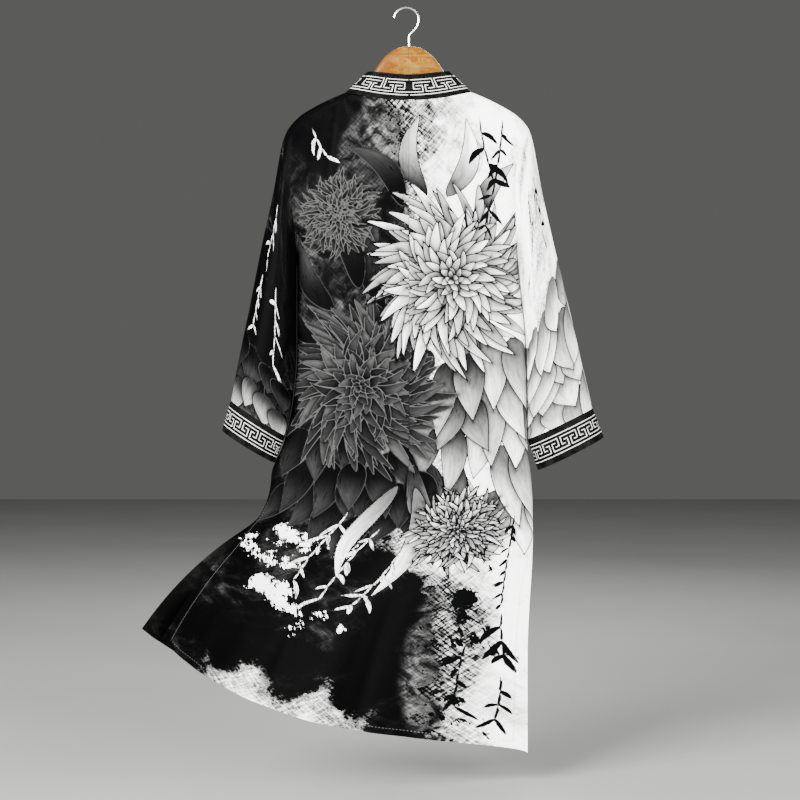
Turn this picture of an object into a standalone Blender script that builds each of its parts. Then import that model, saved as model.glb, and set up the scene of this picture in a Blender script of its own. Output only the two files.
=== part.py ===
"""A long kimono robe that hangs on a wooden hanger, with wind lifting its lower left side.

Metres, +Z up. The robe's back faces -Y, so +X is to the right of someone who stands behind it.
The origin is the point inside the top of the hook where a rail or a peg carries the hanger.

Every cloth piece is a wall of one thickness. Its outer face is a grid of points worked out from
the sizes below, and its inner face is the same grid moved in along the cloth's own normals.
Two pieces that are sewn together share the points and the normals of their seam, and each is
drawn back from it by half of SEAM.
"""

import math
from collections import namedtuple

import bpy
import numpy as np

WALL = 0.002  # thickness of the cloth, doubled and turned in at every edge
SEAM = 0.0003  # gap between two pieces that are sewn together
BAND = 0.055  # width of the collar and cuff bands
MIDDLE = 0.005  # the robe's and the hanger's centre line, beside the hook's bearing point

NECK_SIDE_Z = -0.156  # where the collar crosses the shoulder seam
NAPE_DROP = 0.023  # the nape's seam hangs this far below that
NAPE_BACK = 0.050  # and this far behind the hanger
NECK_SHARE = 0.552  # of the shoulders' half width is neck
ARMPIT_Z = -0.457
SLIT_Z = -0.914  # the side seams end here
HEM_Z = -1.370

ARMHOLE_HALF_DEPTH = 0.045
SHOULDER_ROUND = 0.018  # radius of the cloth over the hanger
ROUND_SHARE = 0.45  # how much of the depth that rounding gives
SHOULDER_FALL = 0.20  # over which the rest of the depth comes
SIDE_ROUND = 2.4  # power of the rounded section, 2 is an ellipse
ARMHOLE_REACH = 3.0  # power of the armhole's pull on the panel, which is less further in
ARMPIT_TILT = 0.85  # turns the armpit's seam outwards, into the gap beside the sleeve
EDGE_DIP = 0.5  # how far a slit's edge lies back from the panel's middle
SLIT_OPENING = 0.18  # below the slit's top, the panel has become flat

WIND_Z = -0.85  # the wind lifts the cloth from here down
WIND_BEND = 0.142  # length over which it bends
SWING = math.radians(46.5)  # the left edge's swing to the left
SWING_POWER = 0.81
DROOP = 0.51  # share of the swing that the cloth's weight takes back
DROOP_FALL = 0.40  # over this length
LIFT = math.radians(53)  # the left edge's lift, away from the wearer's back
LIFT_POWER = 1.63
GATHER = 0.124  # share of the lifted cloth's length that its slack waves take up
GATHER_POWER = 0.52
FRONT_LAG = 0.12  # the left front lifts less than the back by this share
FRONT_LEAD = 0.30  # and swings more by this share
WIND_STEPS = 40

SLEEVE_CLEARANCE = 0.003  # between a sleeve and the body beside it

NECK_COLUMNS = 5
SHOULDER_COLUMNS = 8
ARMHOLE_ROWS = 12
SIDE_ROWS = 9
SLIT_ROWS = 13
COLLAR_ROWS = 8  # of the armhole's rows lie beside the collar's upper piece
SLEEVE_ROWS = 15
CUFF_ROWS = 2
BAND_COLUMNS = 2

# Down from the shoulder tips: the body's half widths to each side of its centre line, and how
# far its back and its front stand off the hanger's plane.
Level = namedtuple("Level", "z left right back front")
BODY = [
    Level(-0.2105, 0.213, 0.212, 0.047, 0.042),
    Level(-0.3360, 0.216, 0.193, 0.048, 0.044),
    Level(-0.4570, 0.207, 0.200, 0.050, 0.046),
    Level(-0.6320, 0.207, 0.216, 0.052, 0.048),
    Level(-0.7245, 0.2145, 0.218, 0.053, 0.049),
    Level(-0.8000, 0.2305, 0.219, 0.054, 0.050),
    Level(-0.8660, 0.2545, 0.2255, 0.055, 0.050),
    Level(-0.9140, 0.2550, 0.2285, 0.056, 0.051),
    Level(-0.9650, 0.2515, 0.2288, 0.057, 0.052),
    Level(-1.0200, 0.2510, 0.2265, 0.058, 0.053),
    Level(-1.1000, 0.2510, 0.2205, 0.059, 0.054),
    Level(-1.1900, 0.2515, 0.2170, 0.060, 0.055),
    Level(HEM_Z, 0.252, 0.2170, 0.062, 0.057),
]

# The shoulder line, out from the neck to the armhole seam.
Shoulder = namedtuple("Shoulder", "half z")
SHOULDER = [
    Shoulder(0.117, NECK_SIDE_Z),
    Shoulder(0.148, -0.1693),
    Shoulder(0.180, -0.1860),
    Shoulder(0.198, -0.1975),
    Shoulder(0.212, -0.2105),
]

# Where a front's edge, which carries the collar band, lies beside the centre line.
Edge = namedtuple("Edge", "z half")
FRONT_EDGE = [
    Edge(NECK_SIDE_Z, 0.1180),
    Edge(-0.230, 0.108),
    Edge(-0.330, 0.092),
    Edge(-0.457, 0.080),
    Edge(-0.700, 0.072),
    Edge(HEM_Z, 0.070),
]

# Sections across a sleeve, from the armhole to the cuff: the outer end of each lies under the
# shoulder tip, and its inner end beside the body.
Ring = namedtuple("Ring", "along outer outer_z inner_z half_depth")
RIGHT_SLEEVE = [
    Ring(0.00, 0.2120, -0.2105, -0.4570, 0.045),
    Ring(0.05, 0.2215, -0.2248, -0.4750, 0.046),
    Ring(0.12, 0.2300, -0.2525, -0.4970, 0.048),
    Ring(0.20, 0.2350, -0.2803, -0.5220, 0.050),
    Ring(0.33, 0.2450, -0.3358, -0.5630, 0.052),
    Ring(0.50, 0.2660, -0.4300, -0.6200, 0.053),
    Ring(0.68, 0.2915, -0.5350, -0.6850, 0.053),
    Ring(0.85, 0.3170, -0.6450, -0.7450, 0.052),
    Ring(1.00, 0.3390, -0.7390, -0.7965, 0.050),
]
LEFT_SLEEVE = [
    Ring(0.00, 0.2130, -0.2105, -0.4570, 0.045),
    Ring(0.05, 0.2240, -0.2248, -0.4750, 0.046),
    Ring(0.12, 0.2345, -0.2525, -0.4970, 0.048),
    Ring(0.20, 0.2400, -0.2803, -0.5220, 0.050),
    Ring(0.33, 0.2495, -0.3358, -0.5630, 0.053),
    Ring(0.50, 0.2700, -0.4300, -0.6150, 0.055),
    Ring(0.68, 0.2910, -0.5350, -0.6750, 0.057),
    Ring(0.85, 0.3115, -0.6350, -0.7350, 0.058),
    Ring(1.00, 0.3290, -0.7243, -0.7900, 0.058),
]

# A cuff's lower rim: its two ends beside the centre line, and its half depth.
Rim = namedtuple("Rim", "outer outer_z inner inner_z half_depth")
RIGHT_CUFF = Rim(0.3600, -0.7925, 0.2385, -0.8535, 0.050)
LEFT_CUFF = Rim(0.3450, -0.7798, 0.2480, -0.8400, 0.058)

# How the collar band leans on its way down the front, below the shoulder seam.
Lean = namedtuple("Lean", "drop inward forward up")
FRONT_LEAN = [
    Lean(0.00, 0.72, 0.00, 0.69),
    Lean(0.03, 0.82, 0.08, 0.56),
    Lean(0.08, 0.93, 0.12, 0.35),
    Lean(0.16, 0.99, 0.06, 0.12),
    Lean(0.30, 1.00, 0.02, 0.00),
]
# The band's upper edge round the neck, a smaller half ellipse than its seam.
BAND_HALF = 0.0774
BAND_BACK = 0.030
BAND_NAPE_Z = -0.128
BAND_RISE = 0.0105  # from the nape to the sides

# The largest folds of the back, troughs and ridges: where each starts and ends across the back,
# from -1 at the left edge to 1 at the right, and its half width and depth.
Fold = namedtuple("Fold", "start start_z end end_z half_width depth")
BACK_FOLDS = [
    Fold(-0.86, -0.215, -0.90, -0.420, 0.12, 0.0035),
    Fold(0.86, -0.215, 0.92, -0.420, 0.12, 0.0035),
    Fold(-0.45, -0.860, -0.62, HEM_Z - 0.1, 0.15, 0.007),
    Fold(-0.02, -0.940, -0.10, HEM_Z - 0.1, 0.17, -0.008),
    Fold(0.42, -0.900, 0.40, HEM_Z - 0.1, 0.16, 0.006),
]
FRONT_FOLDS = [
    Fold(-0.62, -0.860, -0.70, HEM_Z - 0.1, 0.15, 0.006),
    Fold(0.66, -0.700, 0.70, HEM_Z - 0.1, 0.15, 0.006),
]

# The hanger's outline to each side of its stem. Beyond the neck its top follows the shoulders.
Timber = namedtuple("Timber", "half top bottom half_thick")
HANGER = [
    Timber(0.000, -0.0694, -0.1370, 0.0090),
    Timber(0.018, -0.0722, -0.1372, 0.0090),
    Timber(0.034, -0.0805, -0.1380, 0.0090),
    Timber(0.044, -0.0885, -0.1390, 0.0092),
    Timber(0.054, -0.1010, -0.1405, 0.0095),
    Timber(0.065, -0.1175, -0.1440, 0.0098),
    Timber(0.079, -0.1360, -0.1570, 0.0095),
    Timber(0.097, -0.1505, -0.1740, 0.0095),
    Timber(0.117, -0.1615, -0.1865, 0.0098),
    Timber(0.142, None, -0.2030, 0.0098),
    Timber(0.172, None, -0.2200, 0.0104),
    Timber(0.193, None, -0.2330, 0.0108),
]
HANGER_REACH = 0.2085
HANGER_SEAT = 0.0035  # upright distance from the cloth's outer face to the wood under it
HANGER_POINTS = 16
HANGER_POWER = 1.0

WIRE = 0.004
HOOK_RADIUS = 0.0229
HOOK_START = math.radians(-22)
HOOK_END = math.radians(172)
STEM_TOP = -0.0560
STEM_DEPTH = 0.015  # the stem's end inside the wood


def step(value):
    """0 below 0, 1 above 1, and an even S between them."""
    value = np.clip(value, 0, 1)
    return value * value * (3 - 2 * value)


def unit(vectors):
    return vectors / np.linalg.norm(vectors, axis=-1, keepdims=True)


def column(rows, name):
    return np.array([getattr(row, name) for row in rows], float)


def read(rows, name, at):
    """The smooth value of one column of a table, read along its first column."""
    places, values = column(rows, rows[0]._fields[0]), column(rows, name)
    if places[0] > places[-1]:
        places, values = places[::-1], values[::-1]
    gaps = np.diff(places)
    slopes = np.diff(values) / gaps
    same_way = slopes[:-1] * slopes[1:] > 0
    safe = np.where(same_way, slopes[:-1] + slopes[1:], 1)
    inner = np.where(same_way, 2 * slopes[:-1] * slopes[1:] / safe, 0)
    tangents = np.concatenate([slopes[:1], inner, slopes[-1:]])
    at = np.clip(at, places[0], places[-1])
    cell = np.clip(np.searchsorted(places, at) - 1, 0, len(gaps) - 1)
    part, gap = (at - places[cell]) / gaps[cell], gaps[cell]
    start, end = values[cell], values[cell + 1]
    rise = part * part * (3 - 2 * part)
    return (
        start * (1 - rise)
        + end * rise
        + gap * part * (1 - part) * ((1 - part) * tangents[cell] - part * tangents[cell + 1])
    )


def half_width(across, z):
    left, right = read(BODY, "left", z), read(BODY, "right", z)
    return np.where(across < 0, left, right)


def top_z(across):
    """The upper edge of the body: the neck seam in the middle, then the shoulder line."""
    share = np.minimum(np.abs(across) / NECK_SHARE, 1)
    neck = NECK_SIDE_Z - NAPE_DROP * (1 - share**2)
    tip = SHOULDER[-1].half
    return np.where(share < 1, neck, read(SHOULDER, "z", np.abs(across) * tip))


def row_z(across, level):
    """Levels 0 to 1 reach the armpit, 1 to 2 the top of the slit, and 2 to 3 the hem."""
    top = top_z(across)
    upper = top + (ARMPIT_Z - top) * (1 - np.cos(math.pi * np.clip(level, 0, 1))) / 2
    side = (SLIT_Z - ARMPIT_Z) * np.clip(level - 1, 0, 1)
    slit = (HEM_Z - SLIT_Z) * np.clip(level - 2, 0, 1)
    return upper + side + slit


def folds(rows, across, z):
    """What the folds add to the depth. Each fades in at its start and runs out at its end."""
    total = np.zeros(np.broadcast(across, z).shape)
    for fold in rows:
        part = np.clip((z - fold.start_z) / (fold.end_z - fold.start_z), 0, 1)
        away = (across - fold.start - (fold.end - fold.start) * part) / fold.half_width
        fade = np.sin(math.pi * np.minimum(part, 0.5 if fold.end_z < HEM_Z else part))
        total -= fold.depth * fade * np.exp(-2 * away**2)
    return total * step((1 - np.abs(across)) / 0.08)


def stand_off(across, top_across, level, z, depth, neck, fold_rows):
    """How far the cloth stands off the hanger's plane."""
    drop = top_z(top_across) - z
    over = np.sqrt(1 - (1 - np.clip(drop / SHOULDER_ROUND, 0, 1)) ** 2)
    rise = ROUND_SHARE * over + (1 - ROUND_SHARE) * step(drop / SHOULDER_FALL)
    middle = neck + (depth - neck) * rise
    # The side stands open at the armhole, is shut below it and lies flat below the slit's top.
    armhole = ARMHOLE_HALF_DEPTH * np.sin(math.pi * np.clip(level, 0, 1))
    middle_part = middle**SIDE_ROUND * (1 - np.minimum(np.abs(across), 1) ** SIDE_ROUND)
    side_part = (armhole * np.abs(across) ** ARMHOLE_REACH) ** SIDE_ROUND
    shut = (middle_part + side_part) ** (1 / SIDE_ROUND)
    flat = middle * (1 - EDGE_DIP * across**2)
    opened = step((SLIT_Z - z) / SLIT_OPENING)
    return shut + (flat - shut) * opened + folds(fold_rows, across, z)


def blown(across, z, lag):
    """How far the wind has carried each thread of the cloth. Only a front has a lag."""
    weight = (1 - across) / 2
    fall = np.maximum(WIND_Z - z, 0)
    moved = np.zeros(fall.shape + (3,))
    for number in range(WIND_STEPS):
        gone = fall * (number + 0.5) / WIND_STEPS
        bend = step(gone / WIND_BEND)
        late = step((gone - (WIND_Z - SLIT_Z)) / WIND_BEND) * lag
        droop = DROOP * np.clip((gone - WIND_BEND) / DROOP_FALL, 0, 1)
        swing = SWING * weight**SWING_POWER * bend * (1 - droop) * (1 + FRONT_LEAD * late)
        lift = LIFT * weight**LIFT_POWER * bend * (1 - FRONT_LAG * late)
        reach = 1 - GATHER * weight**GATHER_POWER * bend
        moved[..., 0] -= np.sin(swing) * np.cos(lift) * reach
        moved[..., 1] -= np.sin(lift) * reach
        moved[..., 2] += 1 - np.cos(swing) * np.cos(lift) * reach
    return moved * (fall / WIND_STEPS)[..., None]


def back_points(across, level):
    """The back's outer face, for columns across from -1 to 1 and rows down from 0 to 3."""
    across, level = np.meshgrid(across, level)
    z = row_z(across, level)
    x = MIDDLE + across * half_width(across, z)
    share = np.minimum(np.abs(across) / NECK_SHARE, 1)
    neck = NAPE_BACK * np.sqrt(1 - share**2)
    depth = read(BODY, "back", z)
    y = -stand_off(across, across, level, z, depth, neck, BACK_FOLDS)
    return np.stack([x, y, z], axis=-1) + blown(across, z, 0)


def front_points(side, out, level):
    """One front's outer face: columns out from 0 at its edge to 1 at the side."""
    out, level = np.meshgrid(out, level)
    top_across = side * (NECK_SHARE + (1 - NECK_SHARE) * out)
    z = row_z(top_across, level)
    half = half_width(top_across, z)
    edge = np.minimum(read(FRONT_EDGE, "half", z) / half, NECK_SHARE)
    across = side * (edge + (1 - edge) * out)
    x = MIDDLE + across * half
    depth = read(BODY, "front", z)
    y = stand_off(across, top_across, level, z, depth, 0, FRONT_FOLDS)
    return np.stack([x, y, z], axis=-1) + blown(across, z, 1)


def grid_normals(points, outward, ring=False):
    down = np.gradient(points, axis=0)
    if ring:
        over = np.roll(points, -1, axis=1) - np.roll(points, 1, axis=1)
    else:
        over = np.gradient(points, axis=1)
    return unit(np.cross(down, over)) * outward


def flat_in(vectors, axis):
    """Unit vectors with nothing left along one axis, as a seam in a plane of symmetry has."""
    vectors = vectors.copy()
    vectors[..., axis] = 0
    return unit(vectors)


def eased(normals, ring=False):
    """A seam's normals, each turned a little towards its neighbours'. Open ends stay."""
    before, after = np.roll(normals, 1, axis=0), np.roll(normals, -1, axis=0)
    turned = unit(before + normals + after)
    if not ring:
        turned[0], turned[-1] = normals[0], normals[-1]
    return turned


def square_to(vectors, normals):
    """What of each vector lies in the cloth, at length 1."""
    return unit(vectors - (vectors * normals).sum(axis=-1, keepdims=True) * normals)


def collar_points(side, neck_seam, front):
    """A collar half: stations from the nape round the neck and down the front, columns out."""
    turn = np.linspace(0, math.pi / 2, NECK_COLUMNS + 1)
    upper = np.stack(
        [
            MIDDLE + side * BAND_HALF * np.sin(turn),
            -BAND_BACK * np.cos(turn),
            BAND_NAPE_Z + BAND_RISE * np.sin(turn),
        ],
        axis=-1,
    )
    neck_way = unit(upper - neck_seam)
    drop = NECK_SIDE_Z - front[:, 0, 2]
    front_way = np.stack(
        [
            -side * read(FRONT_LEAN, "inward", drop),
            read(FRONT_LEAN, "forward", drop),
            read(FRONT_LEAN, "up", drop),
        ],
        axis=-1,
    )
    in_cloth = unit(front[:, 0] - front[:, 1])
    share = step((drop - 0.1) / 0.2)[:, None]
    front_way = unit(front_way) * (1 - share) + in_cloth * share
    seam = np.concatenate([neck_seam, front[1:, 0]])
    way = unit(np.concatenate([neck_way, front_way[1:]]))
    out = np.linspace(0, BAND, BAND_COLUMNS + 1)
    return seam[:, None] + way[:, None] * out[None, :, None]


def ring_line(outer, outer_z, inner, inner_z, half_depth, side, turn):
    """One section of a sleeve: an ellipse from its outer end, round the back, to the front."""
    middle_x, middle_z = (outer + inner) / 2, (outer_z + inner_z) / 2
    x = MIDDLE + side * (middle_x + (outer - inner) / 2 * np.cos(turn))
    z = middle_z + (outer_z - inner_z) / 2 * np.cos(turn)
    return np.stack([x, -half_depth * np.sin(turn), z], axis=-1)


def sleeve_points(side, armhole, sections, rim):
    """A sleeve and its cuff in one grid of rings, from the armhole's own points down."""
    turn = np.linspace(0, 2 * math.pi, 2 * ARMHOLE_ROWS, endpoint=False)
    rings = []
    first = None
    for along in np.linspace(0, 1, SLEEVE_ROWS + 1) ** 1.15:
        outer, outer_z = read(sections, "outer", along), read(sections, "outer_z", along)
        inner_z = read(sections, "inner_z", along)
        inner = half_width(side, inner_z) + SLEEVE_CLEARANCE * step(along / 0.05)
        depth = read(sections, "half_depth", along)
        ring = ring_line(outer, outer_z, inner, inner_z, depth, side, turn)
        first = ring if first is None else first
        rings.append(ring + (armhole - first) * (1 - along) ** 3)
    end = ring_line(*rim, side, turn)
    for number in range(1, CUFF_ROWS + 1):
        part = number / CUFF_ROWS
        rings.append(rings[SLEEVE_ROWS] * (1 - part) + end * part)
    return np.array(rings)


def material(name, colour, roughness, metallic=0.0, sheen=0.0):
    made = bpy.data.materials.new(name)
    made.use_nodes = True
    shader = made.node_tree.nodes["Principled BSDF"]
    shader.inputs["Base Color"].default_value = (*colour, 1)
    shader.inputs["Roughness"].default_value = roughness
    shader.inputs["Metallic"].default_value = metallic
    shader.inputs["Sheen Weight"].default_value = sheen
    return made


def add_mesh(name, points, faces, finish):
    mesh = bpy.data.meshes.new(name)
    mesh.from_pydata([tuple(point) for point in points], [], faces)
    mesh.materials.append(finish)
    mesh.shade_smooth()
    mesh.set_sharp_from_angle(angle=math.radians(40))
    made = bpy.data.objects.new(name, mesh)
    bpy.context.scene.collection.objects.link(made)
    return made


def rim_pairs(rows, columns, ring):
    """The pairs of neighbouring points along a grid's open edges, in the order of its rims."""
    if ring:
        for at in range(columns):
            beside = (at + 1) % columns
            yield at, beside
            yield (rows - 1) * columns + beside, (rows - 1) * columns + at
        return
    edge = [(0, at) for at in range(columns)]
    edge += [(row, columns - 1) for row in range(1, rows)]
    edge += [(rows - 1, at) for at in range(columns - 2, -1, -1)]
    edge += [(row, 0) for row in range(rows - 2, 0, -1)]
    ids = [row * columns + at for row, at in edge]
    yield from zip(ids, ids[1:] + ids[:1])


def cloth(name, points, normals, outward, finish, ring=False):
    """A closed wall of cloth on a grid of outer points."""
    rows, columns = points.shape[:2]
    count = rows * columns
    both = np.concatenate([points.reshape(-1, 3), (points - WALL * normals).reshape(-1, 3)])
    faces = []
    for row in range(rows - 1):
        for at in range(columns if ring else columns - 1):
            beside = (at + 1) % columns
            here, under = row * columns, (row + 1) * columns
            quad = [here + at, under + at, under + beside, here + beside]
            faces.append(quad)
            faces.append([corner + count for corner in reversed(quad)])
    for first, second in rim_pairs(rows, columns, ring):
        faces.append([first, second, second + count, first + count])
    if outward < 0:
        faces = [face[::-1] for face in faces]
    return add_mesh(name, both, faces, finish)


def make_robe():
    dark = material("dark printed satin", (0.035, 0.035, 0.037), 0.45, sheen=0.2)
    light = material("light printed satin", (0.62, 0.62, 0.61), 0.45, sheen=0.2)
    band = material("black band satin", (0.02, 0.02, 0.021), 0.5, sheen=0.2)

    neck = NECK_SHARE * np.sin(np.linspace(0, math.pi / 2, NECK_COLUMNS + 1))
    out = np.sin(np.linspace(0, math.pi / 2, SHOULDER_COLUMNS + 1))
    shoulder = NECK_SHARE + (1 - NECK_SHARE) * out
    half = np.concatenate([neck, shoulder[1:]])
    across = np.concatenate([-half[:0:-1], half])
    level = np.concatenate(
        [
            np.linspace(0, 1, ARMHOLE_ROWS + 1),
            np.linspace(1, 2, SIDE_ROWS + 1)[1:],
            np.linspace(2, 3, SLIT_ROWS + 1)[1:],
        ]
    )
    slit_row = ARMHOLE_ROWS + SIDE_ROWS
    centre = len(half) - 1
    armhole_rows = slice(0, ARMHOLE_ROWS + 1)
    seam_rows = slice(ARMHOLE_ROWS, slit_row + 1)

    back = back_points(across, level)
    back_normals = grid_normals(back, 1)
    for side, name, finish, sections, rim in (
        (-1, "left", dark, LEFT_SLEEVE, LEFT_CUFF),
        (1, "right", light, RIGHT_SLEEVE, RIGHT_CUFF),
    ):
        columns = centre + side * np.arange(len(half))
        rear, rear_normals = back[:, columns].copy(), back_normals[:, columns].copy()
        front = front_points(side, out, level)
        front_normals = grid_normals(front, -side)
        collar = collar_points(side, rear[0, : NECK_COLUMNS + 1], front)
        collar_normals = grid_normals(collar, side)
        loop = np.concatenate([rear[armhole_rows, -1], front[ARMHOLE_ROWS - 1 : 0 : -1, -1]])
        sleeve = sleeve_points(side, loop, sections, rim)
        sleeve_normals = grid_normals(sleeve, -side, ring=True)

        # Seams in the plane of symmetry: shoulder, side and centre back.
        for normals, first in ((rear_normals, NECK_COLUMNS), (front_normals, 0)):
            normals[0, first:] = flat_in(normals[0, first:], 1)
            normals[seam_rows, -1] = flat_in(normals[seam_rows, -1], 1)
        collar_normals[0] = flat_in(collar_normals[0], 0)

        # The neck and front-edge seams take the mean of band and panel.
        count = NECK_COLUMNS + 1
        neck_mean = unit(rear_normals[0, :count] + collar_normals[:count, 0])
        edge_mean = unit(front_normals[:, 0] + collar_normals[NECK_COLUMNS:, 0])
        corner = flat_in(neck_mean[-1] + edge_mean[0], 1)
        seam_normals = eased(np.concatenate([neck_mean[:-1], [corner], edge_mean[1:]]))
        seam_normals[NECK_COLUMNS] = flat_in(seam_normals[NECK_COLUMNS], 1)
        seam_normals[0] = flat_in(seam_normals[0], 0)
        rear_normals[0, :count] = seam_normals[:count]
        front_normals[:, 0] = seam_normals[NECK_COLUMNS:]
        collar_normals[:, 0] = seam_normals

        # The armhole seam takes the mean of sleeve and body.
        last = ARMHOLE_ROWS
        ring_normals = sleeve_normals[0]
        rear_mean = unit(rear_normals[: last + 1, -1] + ring_normals[: last + 1])
        front_ring = np.concatenate([ring_normals[:1], ring_normals[:last - 1 : -1]])
        front_mean = unit(front_normals[: last + 1, -1] + front_ring)
        for end in (0, last):
            rear_mean[end] = flat_in(rear_mean[end] + front_mean[end], 1)
        rear_mean[last, 0] += side * ARMPIT_TILT
        hole_normals = np.concatenate([rear_mean, front_mean[last - 1 : 0 : -1]])
        hole_normals = eased(eased(hole_normals, ring=True), ring=True)
        for end in (0, last):
            hole_normals[end] = flat_in(hole_normals[end], 1)
        rear_normals[: last + 1, -1] = hole_normals[: last + 1]
        front_normals[: last + 1, -1] = np.concatenate(
            [hole_normals[:1], hole_normals[: last - 1 : -1]]
        )
        sleeve_normals[0] = hole_normals

        # Each piece is drawn back from its seams by half of the gap.
        half_gap = SEAM / 2
        outwards = np.array([side, 0.0, 0.0])
        for points, normals in ((rear, rear_normals), (front, front_normals)):
            edge = normals[armhole_rows, -1]
            points[armhole_rows, -1] -= half_gap * square_to(outwards + 0 * edge, edge)
        sleeve[0] += half_gap * square_to(outwards + 0 * sleeve[0], sleeve_normals[0])
        band_way = square_to(collar[:, 1] - collar[:, 0], collar_normals[:, 0])
        collar[:, 0] += half_gap * band_way
        rear[0, :count] -= half_gap * band_way[:count]
        front[:, 0] -= half_gap * band_way[NECK_COLUMNS:]
        for points, way, first in ((rear, -1, NECK_COLUMNS), (front, 1, 0)):
            points[0, first:, 1] += half_gap * way
            points[seam_rows, -1, 1] += half_gap * way
        rear[:, 0, 0] += half_gap * side
        collar[0, :, 0] += half_gap * side
        along = unit(sleeve[SLEEVE_ROWS + 1] - sleeve[SLEEVE_ROWS]) * half_gap
        cuff = sleeve[SLEEVE_ROWS:].copy()
        cuff[0] += along
        sleeve[SLEEVE_ROWS] -= along
        join = NECK_COLUMNS + COLLAR_ROWS
        along = unit(collar[join + 1] - collar[join]) * half_gap
        collar_upper, collar_lower = collar[: join + 1].copy(), collar[join:].copy()
        collar_upper[-1] -= along
        collar_lower[0] += along

        cloth(f"back_{name}", rear, rear_normals, side, finish)
        cloth(f"front_{name}", front, front_normals, -side, finish)
        cloth(f"collar_upper_{name}", collar_upper, collar_normals[: join + 1], side, band)
        cloth(f"collar_lower_{name}", collar_lower, collar_normals[join:], side, band)
        upper = slice(0, SLEEVE_ROWS + 1)
        cloth(f"sleeve_{name}", sleeve[upper], sleeve_normals[upper], -side, finish, ring=True)
        cloth(f"cuff_{name}", cuff, sleeve_normals[SLEEVE_ROWS:], -side, band, ring=True)


def timber_rows():
    """The hanger's sections from its left tip to its right tip, with rounded ends."""
    rows = []
    for row in HANGER:
        top = row.top
        if top is None:
            top = float(read(SHOULDER, "z", row.half)) - HANGER_SEAT
        rows.append(Timber(row.half, top, row.bottom, row.half_thick))
    end = rows[-1]
    for part in (0.45, 0.8, 0.97):
        half = end.half + (HANGER_REACH - end.half) * part
        shrink = math.sqrt(1 - part**2)
        seat = float(read(SHOULDER, "z", half)) - HANGER_SEAT
        height = (end.top - end.bottom) * shrink
        top = seat - (1 - shrink) * 0.012
        rows.append(Timber(half, top, top - height, end.half_thick * shrink))
    mirrored = [row._replace(half=-row.half) for row in rows[:0:-1]]
    return mirrored + rows


def make_hanger():
    wood = material("honey wood", (0.62, 0.36, 0.16), 0.38)
    turns = np.linspace(0, 2 * math.pi, HANGER_POINTS, endpoint=False)
    points = []
    for row in timber_rows():
        middle, tall = (row.top + row.bottom) / 2, (row.top - row.bottom) / 2
        for turn in turns:
            over = math.copysign(abs(math.cos(turn)) ** HANGER_POWER, math.cos(turn))
            up = math.copysign(abs(math.sin(turn)) ** HANGER_POWER, math.sin(turn))
            points.append((MIDDLE + row.half, row.half_thick * over, middle + tall * up))
    sections = len(points) // HANGER_POINTS
    faces = []
    for row in range(sections - 1):
        for at in range(HANGER_POINTS):
            beside = (at + 1) % HANGER_POINTS
            here, there = row * HANGER_POINTS, (row + 1) * HANGER_POINTS
            faces.append([here + at, here + beside, there + beside, there + at])
    faces.append(list(range(HANGER_POINTS))[::-1])
    faces.append(list(range((sections - 1) * HANGER_POINTS, sections * HANGER_POINTS)))
    hanger = add_mesh("hanger", points, faces, wood)

    depth = STEM_DEPTH + SEAM
    bpy.ops.mesh.primitive_cylinder_add(
        vertices=12,
        radius=WIRE / 2 + SEAM,
        depth=2 * depth,
        location=(MIDDLE, 0, HANGER[0].top),
    )
    drill = bpy.context.object
    drill.name = "stem drill"
    drill.hide_render = True
    drill.display_type = "WIRE"
    bore = hanger.modifiers.new("stem bore", "BOOLEAN")
    bore.object = drill
    bore.operation = "DIFFERENCE"
    bore.solver = "EXACT"


def make_hook():
    """The hook: a stem, a lean out to the right, and a round bend over the bearing point."""
    steel = material("bright steel wire", (0.75, 0.75, 0.74), 0.2, metallic=1.0)
    centre_z = WIRE / 2 - HOOK_RADIUS
    start_x = HOOK_RADIUS * math.cos(HOOK_START)
    start_z = centre_z + HOOK_RADIUS * math.sin(HOOK_START)
    path = [(MIDDLE, HANGER[0].top - STEM_DEPTH), (MIDDLE, HANGER[0].top), (MIDDLE, STEM_TOP)]
    rise = start_z - STEM_TOP
    tilt = math.tan(-HOOK_START)
    for part in (0.2, 0.4, 0.6, 0.8):
        along = step(part) * (1 - part) + part * part
        bulge = tilt * rise * part * part * (1 - part)
        path.append((MIDDLE + (start_x - MIDDLE) * float(along) + bulge, STEM_TOP + rise * part))
    for turn in np.linspace(HOOK_START, HOOK_END, 20):
        path.append((HOOK_RADIUS * math.cos(turn), centre_z + HOOK_RADIUS * math.sin(turn)))
    curve = bpy.data.curves.new("hanger_hook", "CURVE")
    curve.dimensions = "3D"
    curve.bevel_depth = WIRE / 2
    curve.bevel_resolution = 2
    curve.use_fill_caps = True
    spline = curve.splines.new("POLY")
    spline.points.add(len(path) - 1)
    for point, (x, z) in zip(spline.points, path):
        point.co = (x, 0, z, 1)
    curve.materials.append(steel)
    hook = bpy.data.objects.new("hanger_hook", curve)
    bpy.context.scene.collection.objects.link(hook)


def clear_scene():
    for old in list(bpy.data.objects):
        bpy.data.objects.remove(old, do_unlink=True)


clear_scene()
make_robe()
make_hanger()
make_hook()
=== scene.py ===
# %% [markdown]
# # A printed kimono on a wooden hanger
#
# A long satin robe hangs on a wooden hanger with its back to us, and wind lifts the lower left
# side. This lesson dresses a plain model of it: it makes each cloth piece again as a fine thin
# shell on the same form, paints an ink design on it, and gives the wood and the wire a finish.
#
# The plain model comes first, as a frame that nothing here moves. Its box is kept, because the
# dressed robe has to stay the same size.

import math
from collections import namedtuple

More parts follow.
